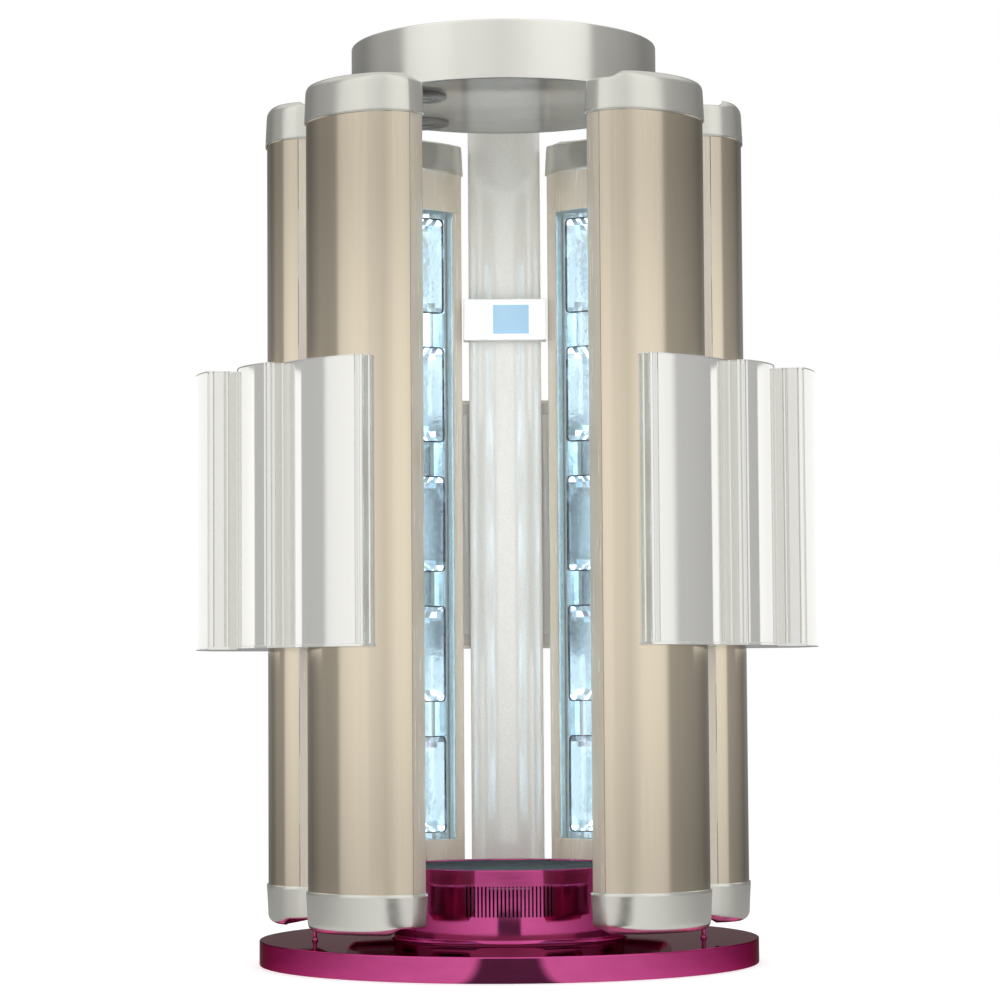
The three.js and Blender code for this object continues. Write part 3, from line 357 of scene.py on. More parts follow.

# bowls: pressed mirror sheet with a hammered skin, and a painted glow that grows towards the back of each bowl in place
# of the burners' light falling into it
bowlMirrorPaintedGlow = newFinish("bowlMirrorPaintedGlow", metallic=1.0)
hammered = grain(bowlMirrorPaintedGlow, (70, 70, 70), 2)
colourBy(bowlMirrorPaintedGlow, hammered, (0.80, 0.86, 0.90), (0.90, 0.94, 0.97))
roughBy(bowlMirrorPaintedGlow, hammered, 0.06, 0.14)
reliefBy(bowlMirrorPaintedGlow, hammered, 0.10, 0.003)
shaderOf(bowlMirrorPaintedGlow).inputs["Emission Color"].default_value = (0.80, 0.93, 1.0, 1)
# painted glow: emission strength from the depth attribute, faint at the rim and strongest at the bowl's back
deep = node(bowlMirrorPaintedGlow, "ShaderNodeAttribute")
deep.attribute_name = "depth"
paintedGlowBy = node(bowlMirrorPaintedGlow, "ShaderNodeMapRange")
for key, value in (("To Min", 0.16), ("To Max", 0.62)):
    paintedGlowBy.inputs[key].default_value = value
link(bowlMirrorPaintedGlow, deep.outputs["Fac"], paintedGlowBy.inputs["Value"])
link(bowlMirrorPaintedGlow, paintedGlowBy.outputs["Result"], shaderOf(bowlMirrorPaintedGlow).inputs["Emission Strength"])

# burners: lit quartz
burnerQuartz = newFinish("burnerQuartz", roughness=0.15, emissionStrength=3.0)
colourBy(burnerQuartz, grain(burnerQuartz, (30, 30, 200), 2), (0.75, 0.86, 0.95), (0.86, 0.93, 1.0))
shaderOf(burnerQuartz).inputs["Emission Color"].default_value = (0.80, 0.92, 1.0, 1)

# filter glass: blue, very slightly wavy
filterBlue = newFinish("filterBlue", transmissionWeight=1.0, roughness=0.02, ior=1.45)
wave = grain(filterBlue, (9, 9, 5), 1)
colourBy(filterBlue, wave, (0.80, 0.905, 0.955), (0.84, 0.925, 0.965))
reliefBy(filterBlue, wave, 0.05, 0.004)
print("booth: finishes made")

# lamp columns, worked out in the column's own plane: x away from the booth's axis, y across

column = dict(inner=476.0, half=173.0, side=47.0, crownRadius=270.0, crownAngle=22.0, shoulderAngle=78.0, bow=36.0,
              wall=4.0, joint=1.5, shellLow=191.0, shellHigh=2152.0, windowHalf=133.0, windowLow=299.0,
              windowHigh=2030.0, plateProud=2.5, plateHalf=163.0, cornerSoft=7.0)
places = {"left_front": 226.4, "left_middle": 174.9, "left_rear": 123.4,
          "right_front": -46.4, "right_middle": 5.1, "right_rear": 56.6}
crownTurn, shoulderTurn = math.radians(column["crownAngle"]), math.radians(column["shoulderAngle"])
shoulderRadius = (column["half"] - column["crownRadius"] * math.sin(crownTurn)) / (
    math.sin(shoulderTurn) - math.sin(crownTurn))
sideRadius = column["inner"] + column["side"]
crownX = sideRadius + shoulderRadius * (math.cos(crownTurn) - math.cos(shoulderTurn)) - column["crownRadius"] * math.cos(crownTurn)
columnCrown = crownX + column["crownRadius"]
shoulderX = crownX + (column["crownRadius"] - shoulderRadius) * math.cos(crownTurn)
shoulderY = (column["crownRadius"] - shoulderRadius) * math.sin(crownTurn)
bowRadius = (column["half"] ** 2 + column["bow"] ** 2) / (2 * column["bow"])
bowX = column["inner"] - column["bow"] + bowRadius


# outer skin of a column from one side to the other: shoulder, crown, shoulder, each a circle grown by the offset
def shellPath(offset):
    radius = shoulderRadius + offset
    end = math.asin((column["half"] + offset - shoulderY) / radius)
    shoulder = arc(shoulderX, shoulderY, radius, end, crownTurn, 22)
    crown = arc(crownX, 0, column["crownRadius"] + offset, crownTurn, -crownTurn, 32)
    return np.concatenate([shoulder, crown[1:-1], shoulder[::-1] * [1, -1]])


# lamp face between two widths: circle that bows towards the booth's axis, grown by the offset
def facePath(offset, start, end, count):
    y = np.linspace(start, end, count)
    return np.stack([bowX - np.sqrt((bowRadius + offset) ** 2 - y * y), y], -1)


# whole outline of a column: skin, flat side, rounded corner, lamp face, corner, flat side
def columnOutline(offset):
    half, soft = column["half"] + offset, column["cornerSoft"]
    face = facePath(offset, -half + soft, half - soft, 19)
    cornerX = bowX - math.sqrt((bowRadius + offset) ** 2 - half * half)
    t = np.linspace(0, 1, 6)[:-1, None]
    start, corner = np.array([cornerX + soft, -half]), np.array([cornerX, -half])
    turn = (1 - t) ** 2 * start + 2 * t * (1 - t) * corner + t ** 2 * face[0]
    side = np.array([[sideRadius - 0.35 * (sideRadius - cornerX), -half]])
    return np.concatenate([shellPath(offset), side, turn, face, turn[::-1] * [1, -1], side * [1, -1]])


# side strip and lip of the lamp frame as one bent strip, an outer path and the same path moved in by the wall
def frameStrip():
    soft, half = column["cornerSoft"], column["half"]

    def path(offset):
        edge = half + offset
        cornerX = bowX - math.sqrt((bowRadius + offset) ** 2 - edge * edge)
        face = facePath(offset, edge - soft, column["windowHalf"], 9)
        t = np.linspace(0, 1, 7)[:-1, None]
        start, corner = np.array([cornerX + soft, edge]), np.array([cornerX, edge])
        turn = (1 - t) ** 2 * start + 2 * t * (1 - t) * corner + t ** 2 * face[0]
        return np.concatenate([[[sideRadius - column["joint"], edge]], turn, face])

    return np.concatenate([path(0), path(-column["wall"])[::-1]])


# header or footer plate: part of the lamp face, a little proud of the lips
def facePlate(low, high):
    front = facePath(column["plateProud"], -column["plateHalf"], column["plateHalf"], 25)
    back = facePath(-column["wall"], -column["plateHalf"] + 4, column["plateHalf"] - 4, 25)
    return raised(np.concatenate([front, back[::-1]]), low, high, 1.2)


strip = frameStrip()
skin = np.concatenate([shellPath(0), shellPath(-column["wall"])[::-1]])
shellSkin = raised(skin, column["shellLow"], column["shellHigh"], 0.6, 1)
frameSkin = joinShells([
    raised(strip, column["shellLow"], column["shellHigh"], 0.6, 1),
    raised(strip[::-1] * [1, -1], column["shellLow"], column["shellHigh"], 0.6, 1),
    facePlate(column["shellLow"], column["windowLow"]), facePlate(column["windowHigh"], column["shellHigh"])])

glass = dict(setback=4.3, thickness=5.0, lap=12.0)
reach = column["windowHalf"] + glass["lap"]
pane = np.concatenate([facePath(-glass["setback"], -reach, reach, 31),
                       facePath(-glass["setback"] - glass["thickness"], reach, -reach, 31)])
glassSkin = raised(pane, column["windowLow"] - glass["lap"], column["windowHigh"] + glass["lap"], 0.8, 2)

# reflector: sheet behind the glass with five pressed bowls, each a truncated pyramid broken into small facets
bowl = dict(front=484.0, sheet=2.0, half=168.7, low=275.0, high=2054.0, mouthHalf=110.0, mouthRise=130.0, backHalf=55.0,
            backRise=85.0, depth=56.0, facet=3.0, heights=[448.5, 806.5, 1164.5, 1522.5, 1880.5], rib=2.5, ribWidth=22.0)


def reflectorSheet():
    heights = np.array(bowl["heights"])
    across = np.array([0, 0.25, 0.5, 0.75, 1]) * bowl["backHalf"]
    slope = np.linspace(bowl["backHalf"], bowl["mouthHalf"], 5)[1:]
    border = np.linspace(bowl["mouthHalf"], bowl["half"], 9)[1:]
    halfY = np.concatenate([across, slope, border])
    y = np.concatenate([-halfY[:0:-1], halfY])
    rise = np.concatenate([np.linspace(0, bowl["backRise"], 6), np.linspace(bowl["backRise"], bowl["mouthRise"], 4)[1:],
                           [bowl["mouthRise"] + 1]])
    rise = np.concatenate([-rise[:0:-1], rise])
    z = np.concatenate([[bowl["low"]], (heights[:, None] + rise).ravel(), [bowl["high"]]])
    yy, zz = np.meshgrid(y, z)
    nearest = np.abs(zz[..., None] - heights).min(-1)
    sideways = (bowl["mouthHalf"] - np.abs(yy)) / (bowl["mouthHalf"] - bowl["backHalf"])
    upwards = (bowl["mouthRise"] - nearest) / (bowl["mouthRise"] - bowl["backRise"])
    share = np.clip(np.minimum(sideways, upwards), 0, 1)
    checks = np.indices(yy.shape).sum(0) % 2 * 2 - 1
    band = (nearest > bowl["mouthRise"]) | (np.abs(yy) > bowl["mouthHalf"] + 1)
    ribs = bowl["rib"] * np.cos(np.pi * yy / bowl["ribWidth"]) * band
    folds = bowl["facet"] * checks * (share > 0.05) * (upwards < sideways)
    x = bowl["front"] + bowl["depth"] * share + folds + ribs + bowl["rib"]
    front = np.stack([x, yy, zz], -1)
    back = np.stack([x + bowl["sheet"], yy, zz], -1)
    points, parts = gridShell(np.concatenate([front, back[:, ::-1]], 1))
    return points, parts, np.concatenate([share, share[:, ::-1]], 1).ravel()


# small clip between two bowls, with a round stud
def bandClip(z):
    plate = raised(softRing(box(-15, 15, z - 9, z + 9), 3), 472, 484, 1.5, axes=(2, 0, 1))
    stud = softRing([(0.5, 466), (5, 466), (5, 473), (0.5, 473)], 1.5, 3)
    points, parts = turned(stud, 16)
    return [plate, (points[:, [2, 0, 1]] + [0, 0, z], parts)]


# rim of a bowl: flat ring along the mouth's outline
def bowlRim(z):
    mouth = softRing(box(-bowl["mouthHalf"] - 3, bowl["mouthHalf"] + 3, z - bowl["mouthRise"] - 2, z + bowl["mouthRise"] + 2), 14)
    rings = np.stack([insetRing(mouth, a) for a in (0, 0, 3, 3)])
    level = np.array([488, 480, 480, 488])[:, None] + 0 * rings[..., 0]
    return gridShell(np.stack([level, rings[..., 0], rings[..., 1]], -1), wrapRows=True)


rimSkin = joinShells([bowlRim(z) for z in bowl["heights"]])
middles = (np.array(bowl["heights"])[1:] + np.array(bowl["heights"])[:-1]) / 2
*reflectorSkin, bowlGlowShare = reflectorSheet()
clipSkin = joinShells([part for z in middles for part in bandClip(z)])

# rail with a pair of holders for each burner
rail = dict(front=542.3, back=546.3, half=22.0, low=344.5, high=1984.5, axis=510.0, span=120.0, holderHalf=9.0,
            holderThick=8.0, burnerRadius=8.0)
holderLevels = [z + s * rail["span"] / 2 for z in bowl["heights"] for s in (-1, 1)]
railSkin = joinShells(
    [raised(softRing(box(rail["front"], rail["back"], -rail["half"], rail["half"]), 1.5), rail["low"], rail["high"], 1)]
    + [raised(softRing(box(rail["axis"] - 12, rail["front"] + 1, -rail["holderHalf"], rail["holderHalf"]), 5),
              z - rail["holderThick"] / 2, z + rail["holderThick"] / 2, 1.2) for z in holderLevels])


# burner: tube with a swelling in the middle and drawn-in ends
def burner(z):
    t = np.linspace(-1, 1, 25)
    radius = rail["burnerRadius"] * (0.45 + 0.55 * np.sqrt(np.clip(1 - np.abs(t) ** 6, 0, 1)))
    return turned(np.stack([radius, z + t * (rail["span"] / 2 - 5)], -1), 20, rail["axis"], 0, False)


burnerSkin = joinShells([burner(z) for z in bowl["heights"]])

# cap: column outline with a drafted wall, a rounded edge and a top that drops in an S towards the lamp face.
# The S is a smooth step of x + skew * y, so it runs askew across the column
cap = dict(rim=4.3, deep=-30.0, draft=3.6, crownEdge=24.0, innerEdge=6.0, drop=17.0, stepFrom=520.0, stepTo=553.0, skew=0.195,
           low=2138.0, high=2240.0, inside=20.0, dome=1.2)


def capSkin():
    wide, narrow = columnOutline(cap["rim"]), columnOutline(cap["deep"])

    def pastStep(flat):
        return smooth((flat[:, 0] + cap["skew"] * flat[:, 1] - cap["stepFrom"]) / (cap["stepTo"] - cap["stepFrom"]))

    up = pastStep(wide)
    edge = cap["innerEdge"] + (cap["crownEdge"] - cap["innerEdge"]) * up
    top = cap["high"] - cap["dome"] - cap["drop"] * (1 - up)

    def row(offset, z):
        share = ((cap["rim"] - offset) / (cap["rim"] - cap["deep"]) + 0 * up)[:, None]
        return np.column_stack([wide + (narrow - wide) * share, z + 0 * up])

    rows = [row(0.3, cap["low"] + cap["inside"]), row(0.3, cap["low"] + 1), row(0.9, cap["low"] + 0.2),
            row(cap["rim"] - 0.9, cap["low"]), row(cap["rim"], cap["low"] + 1)]
    for share in np.linspace(0.1, 1, 8):
        z = cap["low"] + 1 + share * (top - edge - cap["low"] - 1)
        rows.append(row(cap["rim"] - cap["draft"] * share, z))
    for turn in np.linspace(0, np.pi / 2, 9)[1:]:
        rows.append(row(cap["rim"] - cap["draft"] - edge * (1 - math.cos(turn)), top - edge + edge * math.sin(turn)))
    rim = rows[-1]
    spine = np.column_stack([np.clip(rim[:, 0], 510, 575), 0 * up])
    for share in np.linspace(0, 1, 21)[1:]:
        flat = rim[:, :2] + (spine - rim[:, :2]) * share
        z = cap["high"] - cap["drop"] * (1 - pastStep(flat)) - cap["dome"] * (1 - share) ** 2
        rows.append(np.column_stack([flat, z]))
    grid = np.array(rows)
    points, parts = gridShell(grid)
    return points, parts[:2]  # the last row folds onto itself and needs no disc


topCapSkin = capSkin()
bottomCapSkin = (topCapSkin[0] * [1, -1, -1] + [0, 0, 103 + cap["high"]], topCapSkin[1])  # the same cap turned over

for name, angle in places.items():
    side = name.split("_")[0] + "_half"
    turn = math.radians(angle)
    for label, skinOf, finish, slotName, stands, crease in (
            ("champagne_shell", shellSkin, champagneAlloy, "champagne_alloy", "shell", 35),
            ("champagne_frame", frameSkin, champagneSatinPaintedLight, "champagne_alloy", "lamp_frame", 35),
            ("blue_pane", glassSkin, filterBlue, "blue_glass", "filter_glass", 35),
            ("bowl_sheet", reflectorSkin, bowlMirrorPaintedGlow, "mirror_sheet", "reflector", 4),
            ("bowl_clips", clipSkin, turnedSteel, "steel", None, 35),
            ("bowl_rims", rimSkin, darkCoat, "dark_metal", None, 35),
            ("burner_rail", railSkin, turnedSteel, "steel", "lamp_rail", 35),
            ("burners", burnerSkin, burnerQuartz, "lamp_quartz", None, 50),
            ("upper_cap", topCapSkin, capSilver, "cap_silver", "top_cap", 50),
            ("lower_cap", bottomCapSkin, capSilver, "cap_silver", "bottom_cap", 50)):
        putPiece(f"{name}_{label}", [placed(skinOf, turn)], finish, side,
                 [f"{name}_{stands}"] if stands else [], crease, label.endswith("cap"),
                 bowlGlowShare if label == "bowl_sheet" else None)
print("booth: six columns")

# waist covers and the frames inside them: the left ones, and mirrored the right ones

cover = dict(low=812.0, high=1529.0, skin=4.0, plate=7.0, overhang=1.6, inner=555.3, nose=237.6, noseTurn=1.2,
             noseEdge=10.0, front=(35.0, 11.0, 212.2), side=(80.0, 19.0, 192.2), outer=(158.0, 26.0, 170.0),
             rear=(42.0, 163.0, 111.0), step=0.9, soft=1.8)
# beads and grooves along the run of the skin: which wall, share of that wall, half width, height
mouldings = [("nose", 0.77, 1.8, 1.6), ("nose", 1.06, 3.0, 2.4), ("nose", 1.16, 2.2, -2.6), ("nose", 1.24, 2.4, 2.2),
             ("wall1", 0.53, 3.0, 3.2), ("wall1", 0.69, 1.8, -2.8), ("wall1", 0.80, 2.0, 2.2), ("wall1", 1.16, 3.4, -3.6),
             ("wall2", 0.32, 3.0, 3.2), ("wall2", 0.40, 1.8, -2.6), ("wall2", 0.82, 3.0, 3.2), ("wall2", 0.96, 3.4, -4.0)]


# run of the cover's outer skin: nose wall, soft corner, three lobes with steps between them, slope, rear part.
# A lobe's radius is its standoff plus half a sine wave. The run is laid out evenly and its corners averaged soft.
def coverRun():
    def at(angle, radius):
        t = np.radians(angle)
        return np.stack([radius * np.cos(t), radius * np.sin(t)], -1)

    def lobe(start, end, standoff, rise):
        s = np.linspace(0, 1, 80)
        return at(start + (end - start) * s, columnCrown + standoff + rise * np.sin(np.pi * s))

    noseRadius = columnCrown + cover["front"][0]
    lobeStart = cover["nose"] - math.degrees(cover["noseEdge"] / noseRadius)
    s = np.linspace(0, 1, 14)[:, None]
    corner = ((1 - s) ** 2 * at(cover["nose"], noseRadius - cover["noseEdge"]) + 2 * s * (1 - s) * at(cover["nose"], noseRadius)
              + s ** 2 * at(lobeStart, noseRadius))
    s = np.linspace(0, 1, 20)[:, None]
    nose = (1 - s) * at(cover["nose"] + cover["noseTurn"], cover["inner"] + 2) + s * at(cover["nose"], noseRadius - cover["noseEdge"])
    front = lobe(lobeStart, cover["front"][2], *cover["front"][:2])
    sideLobe = lobe(cover["front"][2], cover["side"][2], *cover["side"][:2])
    outer = lobe(cover["side"][2], cover["outer"][2], *cover["outer"][:2])
    rear = at(np.linspace(cover["rear"][1], cover["rear"][2], 60), np.full(60, columnCrown + cover["rear"][0]))
    pieces = [nose, corner[1:], front[1:], sideLobe, outer, rear]
    run = np.concatenate(pieces)
    length = np.concatenate([[0], np.cumsum(np.linalg.norm(np.diff(run, axis=0), axis=1))])
    ends = np.cumsum([len(p) for p in pieces]) - 1
    walls = {"nose": (0, length[ends[0]]), "wall1": (length[ends[2]], length[ends[2] + 1]),
             "wall2": (length[ends[3]], length[ends[3] + 1])}
    even = np.linspace(0, length[-1], int(length[-1] / cover["step"]))
    path = np.stack([np.interp(even, length, run[:, 0]), np.interp(even, length, run[:, 1])], -1)
    width = cover["soft"] / cover["step"]
    reachOf = int(4 * width) + 1
    kernel = np.exp(-0.5 * (np.arange(-reachOf, reachOf + 1) / width) ** 2)
    kernel /= kernel.sum()
    first, last = 2 * path[0] - path[reachOf:0:-1], 2 * path[-1] - path[-2:-reachOf - 2:-1]
    longer = np.concatenate([first, path, last])
    path = np.stack([np.convolve(longer[:, k], kernel, "valid") for k in (0, 1)], -1)
    lift = np.zeros(len(even))
    for wall, share, half, height in mouldings:
        start, end = walls[wall]
        lift += height * np.exp(-((even - start - share * (end - start)) / half) ** 2)
    return path, path + leftNormals(path) * (lift - cover["overhang"])[:, None]


# top or bottom plate: from the columns' outlines out to a run
def coverPlate(run, low, high):
    angle, edge = np.arctan2(run[:, 1], run[:, 0]) % (2 * np.pi), run
    outline = shellPath(0.4)
    turn, far = np.arctan2(outline[:, 1], outline[:, 0])[::-1], np.hypot(outline[:, 0], outline[:, 1])[::-1]
    spots = [math.radians(a) for n, a in places.items() if n.startswith("left")]
    inner = np.max([np.interp(angle - spot, turn, far, left=0, right=0) for spot in spots] + [cover["inner"] + 0 * angle], 0)
    keep = np.hypot(run[:, 0], run[:, 1]) > inner + 2
    angle, edge, inner = angle[keep], edge[keep], inner[keep]
    inside = np.stack([inner * np.cos(angle), inner * np.sin(angle)], -1)
    outward = (edge - inside) / np.linalg.norm(edge - inside, axis=1, keepdims=True)
    corners = [(inside, low), (edge - outward * 1.2, low), (edge, low + 1.2), (edge, high - 1.2),
               (edge - outward * 1.2, high), (inside, high)]
    rows = [np.column_stack([flat, np.full(len(flat), z)]) for flat, z in corners]
    return gridShell(np.swapaxes(np.array(rows), 0, 1))


plainRun, mouldedRun = coverRun()
innerRun = plainRun - leftNormals(plainRun) * cover["skin"]
# skin: a ring of (share from outside to inside, height) carried along the run
ring = [(0, cover["low"] + cover["plate"] - 1), (0, cover["low"] + 12), (0, cover["high"] - 4), (0, cover["high"] - 1),
        (0.08, cover["high"] - 0.3), (0.3, cover["high"]), (1, cover["high"]), (1, cover["low"] + cover["plate"] - 1)]
ringRows = [np.column_stack([mouldedRun + (innerRun - mouldedRun) * share, np.full(len(innerRun), z)]) for share, z in ring]
coverSkin = gridShell(np.swapaxes(np.array(ringRows), 0, 1))
plates = [coverPlate(plainRun - leftNormals(plainRun) * 0.2, cover["low"], cover["low"] + cover["plate"]),
          coverPlate(innerRun, cover["high"] - cover["plate"] - 1, cover["high"] - 1)]

waistFrame = dict(inner=629.2, outer=652.3, web=6.0, flange=12.0, low=862.3, high=1478.7, start=111.0, end=231.0,
                  root=106.7, hingeX=-158.6, hingeY=601.62, knuckle=22.0, bore=11.4)
f = waistFrame
channel = softRing([(f["inner"], f["low"]), (f["outer"], f["low"]), (f["outer"], f["high"]), (f["inner"], f["high"]),
                    (f["inner"], f["high"] - f["flange"]), (f["outer"] - f["web"], f["high"] - f["flange"]),
                    (f["outer"] - f["web"], f["low"] + f["flange"]), (f["inner"], f["low"] + f["flange"])], 2)
root = softRing(box(f["inner"], f["outer"], f["low"], f["high"]), 3)
knuckle = softRing(box(f["bore"], f["knuckle"], f["low"], f["high"]), 2)
frameParts = [carriedRound(channel, math.radians(f["start"]), math.radians(f["end"]), 60),
              carriedRound(root, math.radians(f["root"]), math.radians(f["start"] + 0.1), 6),
              turned(knuckle, 40, f["hingeX"], f["hingeY"])]

pin = dict(radius=11.0, low=826.0, high=1509.3, head=17.0, headRise=8.0)
pinProfile = softRing([(0.5, pin["low"]), (pin["radius"], pin["low"]), (pin["radius"], pin["high"]),
                       (pin["head"], pin["high"]), (pin["head"], pin["high"] + pin["headRise"]),
                       (0.5, pin["high"] + pin["headRise"])], [0.2, 2, 0.5, 1, 4, 0.2])
for side, mirror in (("left", False), ("right", True)):
    body = side + "_half"
    putPiece(side + "_cover_skin", [placed(coverSkin, 0, mirror)], coverBright, body,
             [side + "_waist_cover"], 40)
    putPiece(side + "_cover_plates", [placed(plate, 0, mirror) for plate in plates], coverBright, body,
             weld=True)
    putPiece(side + "_frame_channel", [placed(part, 0, mirror) for part in frameParts], darkCoat, body,
             [side + "_waist_frame"])
    pinSkin = turned(pinProfile, 32, f["hingeX"], f["hingeY"])
    putPiece(side + "_pin", [placed(pinSkin, 0, mirror)], turnedSteel, "stand", [side + "_hinge_pin"])
print("booth: waist covers, frames and pins")

# base, pedestal and tread

base = dict(radius=647.49, height=64.0, skin=5.0, flange=90.0, hub=70.0, edge=3.0)
inner, under = base["radius"] - base["flange"], base["height"] - base["skin"]
baseProfile = softRing([(20, base["height"]), (base["radius"], base["height"]), (base["radius"], 0), (inner, 0),
                        (inner, under), (base["hub"], under), (base["hub"], 0), (20, 0)],
                       [0.2, base["edge"], base["edge"], 2, 4, 4, 2, 0.2], 5)[6:-6]
baseProfile = np.concatenate([[[20, base["height"]]], baseProfile, [[20, 0]]])
putPiece("chrome_base", [turned(baseProfile, 192, closed=False)], magentaChrome, "stand", ["base_disc"])

# rest studs on the base, under the middle columns
stud = dict(x=489.0, y=137.0, radius=5.5, collar=8.0, collarRise=5.0, high=126.5)
studProfile = softRing([(0.5, base["height"]), (stud["collar"], base["height"]), (stud["collar"], base["height"] + stud["collarRise"]),
                        (stud["radius"], base["height"] + stud["collarRise"]), (stud["radius"], stud["high"]), (0.5, stud["high"])],
                       [0.2, 0.3, 1.5, 0.8, 1.5, 0.2])
studs = [placed(turned(studProfile, 24, stud["x"], stud["y"]), math.radians(places["left_middle"]), mirror) for mirror in (False, True)]
putPiece("rest_studs", studs, magentaChrome, "stand")

drum = dict(radius=298.0, low=64.3, high=252.0, wall=4.0, flare=8.0, flareRise=12.0, rim=12.0, ledge=16.0,
            ledgeThick=5.0, treadLow=237.0, slots=23, pitch=9.9, slotWidth=4.4, slotLow=134.0, slotHigh=211.0)
# wall: grid of angle and height with the slot cells left out, thickened inwards
pitch, half = drum["pitch"] / drum["radius"], drum["slotWidth"] / drum["radius"] / 2
slotTurns = -np.pi / 2 + (np.arange(drum["slots"]) - (drum["slots"] - 1) / 2) * pitch
edges = np.stack([slotTurns - half, slotTurns + half], -1).ravel()
rest = np.linspace(edges[-1], edges[0] + 2 * np.pi, 152)[1:-1]
turns = np.concatenate([edges, rest])
levels = np.array([drum["low"] + drum["flareRise"], drum["slotLow"], drum["slotHigh"], drum["treadLow"] - drum["ledgeThick"]])
wall = np.stack([drum["radius"] * np.cos(turns) + 0 * levels[:, None], drum["radius"] * np.sin(turns) + 0 * levels[:, None],
                 levels[:, None] + 0 * turns], -1)
row, col = np.meshgrid(np.arange(len(levels) - 1), np.arange(len(turns)), indexing="ij")
solid = ~((row == 1) & (col < len(edges)) & (col % 2 == 0))
nextCol = (col + 1) % len(turns)
cells = np.stack([row * len(turns) + col, row * len(turns) + nextCol, (row + 1) * len(turns) + nextCol,
                  (row + 1) * len(turns) + col], -1)
shrink = np.array([1 - drum["wall"] / drum["radius"]] * 2 + [1])
inward = wall.size // 3  # the inner skin repeats the outer one, so each edge of a slot or rim joins a pair of points
edgeCells = cells[~solid]
reveals = [np.stack([edgeCells[:, a], edgeCells[:, b], edgeCells[:, b] + inward, edgeCells[:, a] + inward], -1)
           for a, b in ((0, 1), (1, 2), (2, 3), (3, 0))]
reveals += [np.stack([ends[:, 0], ends[:, 1], ends[:, 1] + inward, ends[:, 0] + inward], -1)
            for ends in (cells[0][:, :2], cells[-1][:, 3:1:-1])]
skins = np.concatenate([wall.reshape(-1, 3), wall.reshape(-1, 3) * shrink])
putPiece("chrome_pedestal", [(skins, [cells[solid], cells[solid][:, ::-1] + inward] + reveals)], magentaChrome, "stand",
         ["pedestal_drum"], weld=True)
# foot with a hollow flare, and the rim with its ledge
t = np.linspace(0, np.pi / 2, 9)
flare = np.stack([drum["radius"] + drum["flare"] * (1 - np.sin(t)),
                  drum["low"] + 1.5 + (drum["flareRise"] - 1.5) * (1 - np.cos(t))], -1)
foot = np.concatenate([[[drum["radius"] - drum["wall"], drum["low"]], [drum["radius"] + drum["flare"], drum["low"]]], flare,
                       [[drum["radius"] - drum["wall"], drum["low"] + drum["flareRise"]]]])
rimRing = softRing([(drum["radius"] - drum["rim"] - drum["ledge"], drum["treadLow"] - drum["ledgeThick"]),
                    (drum["radius"], drum["treadLow"] - drum["ledgeThick"]), (drum["radius"], drum["high"]),
                    (drum["radius"] - drum["rim"], drum["high"]), (drum["radius"] - drum["rim"], drum["treadLow"] - 0.3),
                    (drum["radius"] - drum["rim"] - drum["ledge"], drum["treadLow"] - 0.3)], [1, 0.3, 2.5, 2.5, 1, 1], 5)
putPiece("chrome_pedestal_rings", [turned(foot, 192), turned(rimRing, 192)], magentaChrome, "stand")

# tread: flat plate with low rings for grip, each half a cosine wave high
tread = dict(radius=285.7, low=237.0, high=249.0, ringPitch=7.0, ringHeight=0.9, plainEdge=14.0)
r = np.arange(16, tread["radius"] - tread["plainEdge"], 1.0)
ringTop = tread["high"] - tread["ringHeight"] * (0.5 + 0.5 * np.cos(2 * np.pi * r / tread["ringPitch"])) ** 2
treadProfile = np.concatenate([np.stack([r, ringTop], -1),
                               [[tread["radius"] - 3, tread["high"]], [tread["radius"] - 0.8, tread["high"] - 0.8],
                                [tread["radius"], tread["high"] - 3], [tread["radius"], tread["low"]], [16, tread["low"]]]])
putPiece("grip_plate", [turned(treadProfile, 144, closed=False)], treadRubber, "stand", ["tread_plate"])
print("booth: base and pedestal")

# mast, control panel and canopy

mast = dict(half=100.6, front=501.62, back=621.62, bow=20.0, low=64.3, high=2384.0, corner=8.0)
bowSize = (mast["half"] ** 2 + mast["bow"] ** 2) / (2 * mast["bow"])
spread = math.asin(mast["half"] / bowSize)
frontArc = arc(0, mast["front"] + bowSize, bowSize, -np.pi / 2 - spread + 0.006, -np.pi / 2 + spread - 0.006, 33)
cornerX, cornerY = mast["half"] - mast["corner"], mast["back"] - mast["corner"]
post = np.concatenate([frontArc, [[mast["half"] - 0.2, mast["front"] + mast["bow"] + 0.6], [mast["half"], mast["front"] + mast["bow"] + 3]],
                       arc(cornerX, cornerY, mast["corner"], 0, np.pi / 2, 8), arc(-cornerX, cornerY, mast["corner"], np.pi / 2, np.pi, 8),
                       [[-mast["half"], mast["front"] + mast["bow"] + 3], [-mast["half"] + 0.2, mast["front"] + mast["bow"] + 0.6]]])
arm = raised(softRing(box(-60, 60, 2272, 2372), 9, 6), 396.4, 516, 1.5, axes=(0, 2, 1))
mastParts = [raised(post, mast["low"], mast["high"], 2.0), arm]
fin = dict(reach=128.6, front=595.6, back=607.6, low=822.0, high=1519.0)
for sign in (-1, 1):
    mastParts.append(raised(softRing(box(min(sign * 98, sign * fin["reach"]), max(sign * 98, sign * fin["reach"]), fin["low"], fin["high"]), 8),
                            fin["front"], fin["back"], 2.0, axes=(0, 2, 1)))
    lug = softRing([(sign * 99, 595.6), (sign * 148, 579.6), (sign * 180.6, 579.6), (sign * 180.6, 623.6), (sign * 148, 623.6), (sign * 99, 607.6)],
                   [2, 12, 21, 21, 12, 2], 8)
    mastParts += [raised(lug, 832, 862, 2.0), raised(lug, 1479, 1509, 2.0)]
putPiece("mast_post", mastParts, mastGrey, "stand", ["rear_mast"])

